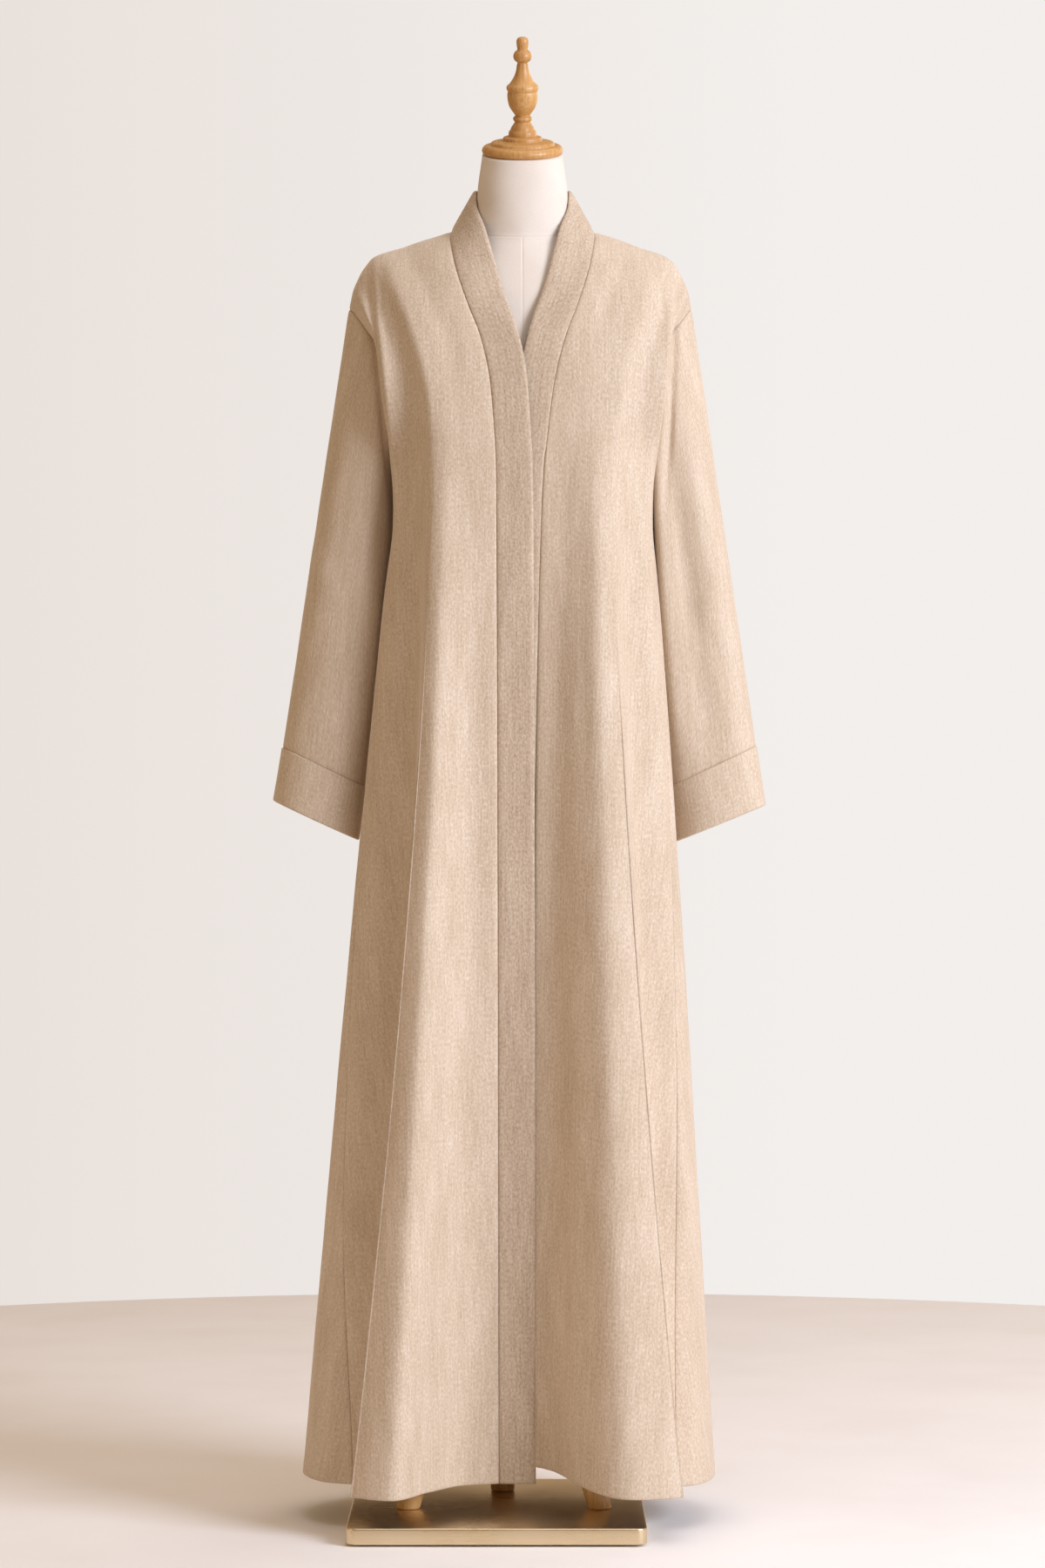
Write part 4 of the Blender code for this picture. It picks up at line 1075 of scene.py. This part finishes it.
def draw_rings(rings: list[tuple[Vector, float]], sides: int) -> None:
    """Draw a round form in edit mode by extruding a ring from level to level.

    Args:
        rings: Each level's middle and radius in metres.
        sides: How many sides the ring has.
    """
    centre, radius = rings[0]
    bpy.ops.mesh.primitive_circle_add(vertices=sides, radius=radius, fill_type="NGON", location=centre)
    for middle, wide in rings[1:]:
        bpy.ops.mesh.extrude_region_move(TRANSFORM_OT_translate={"value": middle - centre})
        bpy.ops.transform.resize(value=(wide / radius, wide / radius, wide / radius), center_override=middle)
        centre, radius = middle, wide


@dataclass
class TurnedWood:
    """A lathe-turned piece on the neck's leaning top."""

    name: str
    profile: tuple[TurnPoint, ...]
    seat: tuple[float, float, float] = (0.0, -9.0, 1560.0)
    lean: float = 18.0
    sides: int = 72
    steps: int = 4

    def build(self, wood: bpy.types.Material, node: str) -> None:
        """Turn the piece upright and lean it into its seat.

        Args:
            wood: Its finish.
            node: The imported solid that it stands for.
        """
        points = [(max(point.radius, 0.05), point.height) for point in self.profile]
        track = spline(points, np.linspace(0, len(points) - 1, (len(points) - 1) * self.steps + 1))
        rings = [(Vector((0, 0, height * MM)), max(radius, 0.05) * MM) for radius, height in track]
        piece = start_edit(self.name)
        draw_rings(rings, self.sides)
        bpy.ops.object.mode_set(mode="OBJECT")
        seat = Matrix.Translation(Vector(self.seat) * MM + SHIFT)
        piece.data.transform(seat @ Matrix.Rotation(math.radians(self.lean), 4, "X"))
        finish_piece(self.name, piece.data, wood, (node,))
        LOG.info("%s: %d faces", piece.name, len(piece.data.polygons))


@dataclass
class Stand:
    """Three tapered legs on a weighted metal plate."""

    axis: tuple[float, float] = (-22.0, -20.0)
    top_reach: float = 24.0
    top_z: float = 429.7
    plate_top_z: float = 20.5
    plate_bottom_z: float = 2.3
    plate_width: float = 331.0
    plate_depth: float = 330.0
    plate_middle: tuple[float, float] = (-28.5, -35.0)
    plate_corner: float = 12.0
    plate_edge: float = 2.0
    foot_radius: float = 13.6
    knee_radius: float = 17.0
    feet: tuple[tuple[str, float, float], ...] = (
        ("leg_right", -129, -71), ("leg_left", 87, -71), ("leg_back", -23, 50),
    )

    def build_leg(self, node: str, x: float, y: float, wood: bpy.types.Material) -> None:
        """Draw a leg from its foot on the plate up to the hub.

        Args:
            node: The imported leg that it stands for.
            x: Its foot's place.
            y: Its foot's place.
            wood: Its finish.
        """
        foot, axis = Vector((x, y)), Vector(self.axis)
        top = axis + (foot - axis).normalized() * self.top_reach
        low = self.plate_top_z + 0.3
        rings = [(Vector((foot.x, foot.y, low)), 1.0), (Vector((foot.x, foot.y, low)), self.foot_radius - 1.2)]
        for step in range(25):
            share = step / 24
            z = low + 1.2 + (self.top_z - low - 1.2) * share
            middle = top + (foot - top) * (1 - share) ** 1.3
            wide = self.foot_radius + (self.knee_radius - self.foot_radius) * min(1.0, share * 4)
            rings.append((Vector((middle.x, middle.y, z)), wide))
        rings.append((rings[-1][0], 1.0))
        piece = start_edit("stand_" + node)
        draw_rings([(middle * MM + SHIFT, wide * MM) for middle, wide in rings], 40)
        bpy.ops.object.mode_set(mode="OBJECT")
        finish_piece(piece.name, piece.data, wood, (node,))

    def build_plate(self, metal: bpy.types.Material) -> None:
        """Shape the plate: rounded corners, then every edge eased.

        Args:
            metal: Its finish.
        """
        height = self.plate_top_z - self.plate_bottom_z
        piece = start_edit("stand_plate")
        middle = Vector((*self.plate_middle, self.plate_bottom_z + height / 2)) * MM + SHIFT
        size = Vector((self.plate_width, self.plate_depth, height)) * MM
        bpy.ops.mesh.primitive_cube_add(size=1.0, location=middle, scale=size)
        self.select_edges(piece, lambda edge: abs(edge.verts[0].co.z - edge.verts[1].co.z) > size.z / 2)
        bpy.ops.mesh.bevel(offset=self.plate_corner * MM, segments=12, affect="EDGES")
        self.select_edges(piece, lambda edge: edge.is_manifold and edge.calc_face_angle(0) > 1.0)
        bpy.ops.mesh.bevel(offset=self.plate_edge * MM, segments=5, affect="EDGES")
        bpy.ops.object.mode_set(mode="OBJECT")
        finish_piece(piece.name, piece.data, metal, ("base_plate",))
        piece.data.shade_smooth()
        bpy.ops.object.shade_smooth_by_angle(angle=math.radians(40))

    @staticmethod
    def select_edges(piece: bpy.types.Object, wanted) -> None:
        """Select the edges that a test picks, in edit mode, and nothing else."""
        mesh = bmesh.from_edit_mesh(piece.data)
        bpy.ops.mesh.select_all(action="DESELECT")
        mesh.select_mode = {"EDGE"}
        mesh.edges.ensure_lookup_table()
        for edge in mesh.edges:
            edge.select_set(bool(wanted(edge)))
        mesh.select_flush_mode()
        bmesh.update_edit_mesh(piece.data)


def linear(colour: str) -> tuple[float, float, float, float]:
    """Turn an sRGB hex colour into the linear colour that the shader reads."""
    parts = [int(colour[k:k + 2], 16) / 255 for k in (1, 3, 5)]
    return (*(p / 12.92 if p <= 0.04045 else ((p + 0.055) / 1.055) ** 2.4 for p in parts), 1.0)


def add_node(tree: bpy.types.NodeTree, kind: str, inputs: dict | None = None, **settings) -> bpy.types.Node:
    """Add a shader node with its settings and links.

    Args:
        tree: The tree to add it to.
        kind: The node's type without its "ShaderNode" start.
        inputs: Each named input's value, or the socket that feeds it.
        **settings: The node's own properties.

    Returns:
        The node.
    """
    node = tree.nodes.new("ShaderNode" + kind)
    for name, value in settings.items():
        setattr(node, name, value)
    for name, value in (inputs or {}).items():
        if isinstance(value, bpy.types.NodeSocket):
            tree.links.new(value, node.inputs[name])
        else:
            node.inputs[name].default_value = value
    return node


def ramp(node: bpy.types.Node, stops: list[tuple[float, str]]) -> bpy.types.NodeSocket:
    """Set a colour ramp's stops and give its colour socket."""
    elements = node.color_ramp.elements
    while len(elements) < len(stops):
        elements.new(0.5)
    for element, (place, colour) in zip(elements, stops):
        element.position = place
        element.color = linear(colour)
    return node.outputs["Color"]


def start_material(name: str) -> tuple[bpy.types.Material, bpy.types.NodeTree, bpy.types.Node]:
    """Add a material and give it with its tree and its Principled shader."""
    material = bpy.data.materials.new(name)
    material.use_nodes = True
    tree = material.node_tree
    return material, tree, tree.nodes["Principled BSDF"]


@dataclass(frozen=True)
class SlubCloth:
    """Brushed linen and wool melange: woven from slubby yarns of three beiges, so that fine
    uneven streaks run down the grain over a soft, hazy, matte ground."""

    name: str = "slubbed_linen_wool_melange"
    dark: str = "#ae997e"
    base: str = "#cbb8a1"
    light: str = "#e3d5c4"
    contrast: float = 1.0
    slub_width_mm: float = 2.6
    slub_length_mm: float = 46.0
    yarn_mm: float = 2.3  # real yarns lie 0.5 mm apart; drawn coarser so that they show
    mottle_mm: float = 26.0

    def make(self) -> bpy.types.Material:
        """Build the material on the cloth's own grain map."""
        material, tree, shader = start_material(self.name)
        grain = add_node(tree, "UVMap", uv_map="grain").outputs["UV"]
        scales = {
            "slub": (1000 / self.slub_width_mm, 1000 / self.slub_length_mm, 1),
            "fine": (1000 / self.slub_width_mm * 2.3, 1000 / self.slub_length_mm * 3.5, 1),
            "yarn": (1000 / self.yarn_mm, 1000 / self.yarn_mm * 0.6, 1),
            "mottle": (1000 / self.mottle_mm, 1000 / self.mottle_mm * 0.22, 1),
        }
        noise = {}
        for key, scale in scales.items():
            mapped = add_node(tree, "Mapping", {"Vector": grain, "Scale": scale}).outputs["Vector"]
            noise[key] = add_node(
                tree, "TexNoise", {"Vector": mapped, "Scale": 1.0, "Detail": 2.0, "Roughness": 0.55}
            ).outputs["Fac"]
        streaks = add_node(
            tree, "Mix", {0: 0.42, 2: noise["slub"], 3: noise["fine"]}, data_type="FLOAT"
        ).outputs[0]
        hazed = add_node(tree, "Mix", {0: 0.52, 2: streaks, 3: noise["yarn"]}, data_type="FLOAT").outputs[0]
        mixed = add_node(tree, "Mix", {0: 0.2, 2: hazed, 3: noise["mottle"]}, data_type="FLOAT").outputs[0]
        reach = 0.2 / self.contrast
        tones = [(0.5 - reach, self.dark), (0.5, self.base), (0.5 + reach, self.light)]
        colour = ramp(add_node(tree, "ValToRGB", {"Fac": mixed}), tones)
        tree.links.new(colour, shader.inputs["Base Color"])
        relief = add_node(
            tree, "Bump", {"Height": hazed, "Strength": 0.55, "Distance": 0.0009}
        ).outputs["Normal"]
        tree.links.new(relief, shader.inputs["Normal"])
        shader.inputs["Roughness"].default_value = 0.92
        shader.inputs["Specular IOR Level"].default_value = 0.25
        shader.inputs["Sheen Weight"].default_value = 0.45
        shader.inputs["Sheen Roughness"].default_value = 0.35
        shader.inputs["Sheen Tint"].default_value = linear("#f6eee6")
        return material


@dataclass(frozen=True)
class FormJersey:
    """Cream cotton jersey pulled tight over padding: even, matte and faintly knitted."""

    ground: str = "#e3dacf"
    shade: str = "#d8ccbe"
    stitch_mm: float = 1.6

    def make(self) -> bpy.types.Material:
        """Build the material on object coordinates."""
        material, tree, shader = start_material("cream_cotton_jersey")
        place = add_node(tree, "TexCoord").outputs["Object"]
        knit = add_node(
            tree, "TexNoise", {"Vector": place, "Scale": 1000 / self.stitch_mm, "Detail": 2.0}
        ).outputs["Fac"]
        haze = add_node(tree, "TexNoise", {"Vector": place, "Scale": 14.0, "Detail": 3.0}).outputs["Fac"]
        mixed = add_node(tree, "Mix", {0: 0.35, 2: haze, 3: knit}, data_type="FLOAT").outputs[0]
        colour = ramp(add_node(tree, "ValToRGB", {"Fac": mixed}), [(0.3, self.shade), (0.7, self.ground)])
        tree.links.new(colour, shader.inputs["Base Color"])
        relief = add_node(tree, "Bump", {"Height": knit, "Strength": 0.2, "Distance": 0.0003})
        tree.links.new(relief.outputs["Normal"], shader.inputs["Normal"])
        shader.inputs["Roughness"].default_value = 0.88
        shader.inputs["Specular IOR Level"].default_value = 0.25
        return material


@dataclass(frozen=True)
class VarnishedBeech:
    """Beech, turned and satin varnished: warm honey brown with fine darker grain along the
    piece and a soft clear gloss."""

    name: str = "satin_varnished_beech"
    dark: str = "#b37f42"
    base: str = "#c29050"
    light: str = "#d0a265"
    grain_mm: float = 2.2
    run_mm: float = 70.0

    def make(self) -> bpy.types.Material:
        """Build the material on object coordinates, with the grain along Z."""
        material, tree, shader = start_material(self.name)
        place = add_node(tree, "TexCoord").outputs["Object"]
        scale = (1000 / self.grain_mm, 1000 / self.grain_mm, 1000 / self.run_mm)
        mapped = add_node(tree, "Mapping", {"Vector": place, "Scale": scale}).outputs["Vector"]
        grain = add_node(
            tree, "TexNoise", {"Vector": mapped, "Scale": 1.0, "Detail": 3.0, "Distortion": 0.4}
        ).outputs["Fac"]
        broad = add_node(tree, "TexNoise", {"Vector": place, "Scale": 22.0, "Detail": 2.0}).outputs["Fac"]
        mixed = add_node(tree, "Mix", {0: 0.3, 2: grain, 3: broad}, data_type="FLOAT").outputs[0]
        stops = [(0.36, self.dark), (0.50, self.base), (0.66, self.light)]
        colour = ramp(add_node(tree, "ValToRGB", {"Fac": mixed}), stops)
        tree.links.new(colour, shader.inputs["Base Color"])
        relief = add_node(tree, "Bump", {"Height": grain, "Strength": 0.12, "Distance": 0.0003})
        tree.links.new(relief.outputs["Normal"], shader.inputs["Normal"])
        shader.inputs["Roughness"].default_value = 0.5
        shader.inputs["Coat Weight"].default_value = 0.3
        shader.inputs["Coat Roughness"].default_value = 0.32
        return material


@dataclass(frozen=True)
class SatinBronze:
    """Steel plate with a brushed, satin bronze lacquer: a warm metal that blurs what it mirrors."""

    base: str = "#e8d6b5"
    worn: str = "#dcc7a2"
    brush_mm: float = 0.9
    brush_run_mm: float = 60.0

    def make(self) -> bpy.types.Material:
        """Build the material on object coordinates, brushed from side to side."""
        material, tree, shader = start_material("satin_bronze_lacquer")
        place = add_node(tree, "TexCoord").outputs["Object"]
        scale = (1000 / self.brush_run_mm, 1000 / self.brush_mm, 1000 / self.brush_mm)
        mapped = add_node(tree, "Mapping", {"Vector": place, "Scale": scale}).outputs["Vector"]
        brushed = add_node(tree, "TexNoise", {"Vector": mapped, "Scale": 1.0, "Detail": 2.0}).outputs["Fac"]
        cloudy = add_node(tree, "TexNoise", {"Vector": place, "Scale": 9.0, "Detail": 3.0}).outputs["Fac"]
        mixed = add_node(tree, "Mix", {0: 0.75, 2: brushed, 3: cloudy}, data_type="FLOAT").outputs[0]
        colour = ramp(add_node(tree, "ValToRGB", {"Fac": mixed}), [(0.35, self.worn), (0.65, self.base)])
        tree.links.new(colour, shader.inputs["Base Color"])
        rough = add_node(
            tree, "MapRange", {"Value": mixed, "From Min": 0.3, "From Max": 0.7, "To Min": 0.24, "To Max": 0.36}
        )
        tree.links.new(rough.outputs["Result"], shader.inputs["Roughness"])
        shader.inputs["Metallic"].default_value = 1.0
        return material


@dataclass(frozen=True)
class ClearRubber:
    """Soft clear rubber foot: milky, slightly glossy and picking up what lies under it."""

    milk: str = "#cfc6ba"
    dust: str = "#b5aa9c"

    def make(self) -> bpy.types.Material:
        """Build the material on object coordinates."""
        material, tree, shader = start_material("milky_clear_rubber")
        place = add_node(tree, "TexCoord").outputs["Object"]
        cloud = add_node(tree, "TexNoise", {"Vector": place, "Scale": 160.0, "Detail": 2.0}).outputs["Fac"]
        colour = ramp(add_node(tree, "ValToRGB", {"Fac": cloud}), [(0.35, self.dust), (0.65, self.milk)])
        tree.links.new(colour, shader.inputs["Base Color"])
        shader.inputs["Roughness"].default_value = 0.45
        return material


@dataclass(frozen=True)
class PaperFloor:
    """Pale seamless studio floor, matte and barely mottled."""

    tone: str = "#fcfaf9"
    cloud: str = "#f7f4f2"

    def make(self) -> bpy.types.Material:
        """Build the material on object coordinates."""
        material, tree, shader = start_material("pale_studio_floor")
        place = add_node(tree, "TexCoord").outputs["Object"]
        mottle = add_node(tree, "TexNoise", {"Vector": place, "Scale": 5.0, "Detail": 5.0}).outputs["Fac"]
        colour = ramp(add_node(tree, "ValToRGB", {"Fac": mottle}), [(0.3, self.cloud), (0.7, self.tone)])
        tree.links.new(colour, shader.inputs["Base Color"])
        shader.inputs["Roughness"].default_value = 0.75
        return material


@dataclass
class Studio:
    """The floor, the soft lights and the camera."""

    camera_back: float = 4.5
    camera_z: float = 0.788
    lens: float = 90.0
    rows_above_middle: float = 50.0
    picture_rows: float = 1800.0
    floor_radius: float = 2.15

    def build(self, floor_material: bpy.types.Material) -> None:
        """Set up the floor, the lights and the camera.

        Args:
            floor_material: The floor's finish.
        """
        floor = start_edit("studio_floor")
        bpy.ops.mesh.primitive_circle_add(
            vertices=128, radius=self.floor_radius, fill_type="NGON", location=(SHIFT.x, SHIFT.y, 0)
        )
        bpy.ops.object.mode_set(mode="OBJECT")
        floor.data.materials.append(floor_material)
        self.light("key_softbox", (3.1, -2.55, 2.0), (0, 0, 0.9), 1.9, 196.0, "#e4ecff")
        self.light("top_softbox", (0.4, -0.6, 3.6), (0, 0, 0.8), 2.4, 32.0, "#f4f6ff")
        self.light("rim_softbox", (1.8, 2.4, 2.2), (0, 0, 1.0), 1.8, 16.0, "#f6f6ff")
        self.light("left_fill", (-3.0, -1.2, 1.4), (0, 0, 0.9), 2.0, 12.0, "#ffdcb4")
        self.world()
        self.camera()
        bpy.context.scene.view_settings.view_transform = "Standard"

    def light(
        self, name: str, place: tuple, target: tuple, size: float, power: float, colour: str
    ) -> None:
        """Add a square softbox that faces a target.

        Args:
            name: The light's name.
            place: Where it stands, in metres.
            target: What it faces.
            size: Its side in metres.
            power: Its power in watts.
            colour: Its sRGB colour.
        """
        data = bpy.data.lights.new(name, "AREA")
        data.size = size
        data.energy = power
        data.color = linear(colour)[:3]
        lamp = bpy.data.objects.new(name, data)
        lamp.location = place
        lamp.rotation_euler = (Vector(target) - Vector(place)).to_track_quat("-Z", "Y").to_euler()
        bpy.context.scene.collection.objects.link(lamp)

    def world(self) -> None:
        """Surround the part with a pale room that is brighter behind it and to the right."""
        world = bpy.data.worlds.new("pale_room")
        world.use_nodes = True
        tree = world.node_tree
        tree.nodes.clear()
        way = add_node(tree, "TexCoord").outputs["Generated"]
        split = add_node(tree, "SeparateXYZ", {"Vector": way})
        side = add_node(
            tree, "MapRange", {"Value": split.outputs["X"], "From Min": -1.0, "From Max": 1.0, "To Min": 0.23,
                               "To Max": 0.37}
        ).outputs["Result"]
        depth = add_node(
            tree, "MapRange", {"Value": split.outputs["Y"], "From Min": -1.0, "From Max": 1.0, "To Min": 0.0,
                               "To Max": 0.22}
        ).outputs["Result"]
        strength = add_node(tree, "Math", {0: side, 1: depth}, operation="ADD").outputs[0]
        glow = add_node(tree, "Background", {"Color": linear("#ffdcb2"), "Strength": strength})
        # The backdrop that only the camera sees carries painted shade: it is darker towards the left side of
        # the wall.
        across = add_node(
            tree, "MapRange", {"Value": split.outputs["X"], "From Min": -0.13, "From Max": 0.07}
        ).outputs["Result"]
        tones = ramp(add_node(tree, "ValToRGB", {"Fac": across}), [(0.0, "#e9e1dc"), (1.0, "#f3efec")])
        wall = add_node(tree, "Background", {"Color": tones, "Strength": 1.0})
        seen = add_node(tree, "LightPath").outputs["Is Camera Ray"]
        mixed = add_node(tree, "MixShader", {0: seen, 1: glow.outputs[0], 2: wall.outputs[0]})
        add_node(tree, "OutputWorld", {"Surface": mixed.outputs[0]})
        bpy.context.scene.world = world

    def camera(self) -> None:
        """Add the camera at the photograph's height, distance and tilt."""
        data = bpy.data.cameras.new("view_camera")
        data.lens = self.lens
        data.sensor_width = 36.0
        camera = bpy.data.objects.new("view_camera", data)
        camera.location = (SHIFT.x, SHIFT.y - self.camera_back, self.camera_z)
        tilt = math.atan(self.rows_above_middle / self.picture_rows * data.sensor_width / self.lens)
        camera.rotation_euler = (math.pi / 2 + tilt, 0, 0)
        bpy.context.scene.collection.objects.link(camera)
        bpy.context.scene.camera = camera


def dress_nodes(finishes: dict[str, bpy.types.Material]) -> None:
    """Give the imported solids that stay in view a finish.

    Args:
        finishes: Each node's finish.
    """
    for node, material in finishes.items():
        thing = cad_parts[node]
        for slot in thing.material_slots:
            slot.material = material
        LOG.info("%s: packed solid, %s", node, material.name)


def main() -> None:
    """Build and dress every piece in order."""
    logging.basicConfig(level=logging.INFO, format="%(message)s")
    cloth = SlubCloth().make()
    band_cloth = SlubCloth(
        name="slubbed_linen_wool_band", dark="#a6917a", base="#c0ac95", light="#d5c5b1", contrast=1.4
    ).make()
    wood = VarnishedBeech().make()
    # The legs get a lighter copy of the beech: painted light that brightens them in the shade under the cloak.
    leg_wood_painted_light = VarnishedBeech(name="beech_legs_painted_light", dark="#cb9a5e", base="#d8ab70", light="#e4bd88").make()
    Cloak().build(cloth, band_cloth)
    DressForm().build(FormJersey().make())
    finial = (
        TurnPoint(0, 134), TurnPoint(3.6, 133.6), TurnPoint(5.8, 132.2), TurnPoint(6.8, 129.8),
        TurnPoint(6.6, 124), TurnPoint(6.3, 119.2), TurnPoint(7.6, 118.2), TurnPoint(9.6, 115.8),
        TurnPoint(10.6, 112.3), TurnPoint(9.8, 108.8), TurnPoint(7.8, 106.4), TurnPoint(6, 105.2),
        TurnPoint(6.6, 101.7), TurnPoint(7.3, 96.5), TurnPoint(9, 91.2), TurnPoint(11.7, 85.9),
        TurnPoint(15.5, 80.6), TurnPoint(17.9, 78.6), TurnPoint(18.4, 76.8), TurnPoint(18, 74.2),
        TurnPoint(16.9, 72.4), TurnPoint(17.3, 70.4), TurnPoint(16.9, 62.1), TurnPoint(15.2, 55.5),
        TurnPoint(12, 50.2), TurnPoint(9, 46), TurnPoint(8.4, 44.6), TurnPoint(10.2, 43.4),
        TurnPoint(10.9, 41.5), TurnPoint(10.2, 39.4), TurnPoint(9, 37.7), TurnPoint(10.2, 35.6),
        TurnPoint(12.8, 31.7), TurnPoint(14.3, 28.4), TurnPoint(15.5, 27), TurnPoint(16, 24.5),
        TurnPoint(16, 21.1), TurnPoint(0, 21.1),
    )
    cap = (
        TurnPoint(0, 20.8), TurnPoint(20.5, 20.8), TurnPoint(21.8, 20.2), TurnPoint(22.4, 18.6),
        TurnPoint(22.6, 16.9), TurnPoint(25, 16.4), TurnPoint(32, 15.6), TurnPoint(35.6, 14.4),
        TurnPoint(36.6, 12.8), TurnPoint(37.2, 11.6), TurnPoint(40.5, 11.4), TurnPoint(43.8, 10.2),
        TurnPoint(46, 7.6), TurnPoint(46.6, 4.8), TurnPoint(45.6, 2.2), TurnPoint(43, 0.3),
        TurnPoint(0, 0.3),
    )
    TurnedWood("turned_finial", finial).build(wood, "finial")
    TurnedWood("turned_cap", cap).build(wood, "neck_cap")
    stand = Stand()
    for node, x, y in stand.feet:
        stand.build_leg(node, x, y, leg_wood_painted_light)
    stand.build_plate(SatinBronze().make())
    rubber = ClearRubber().make()
    dress_nodes({"pole": wood, "hub": wood, **{f"pad_{number}": rubber for number in range(1, 5)}})
    Studio().build(PaperFloor().make())


if __name__ == "__main__":
    main()
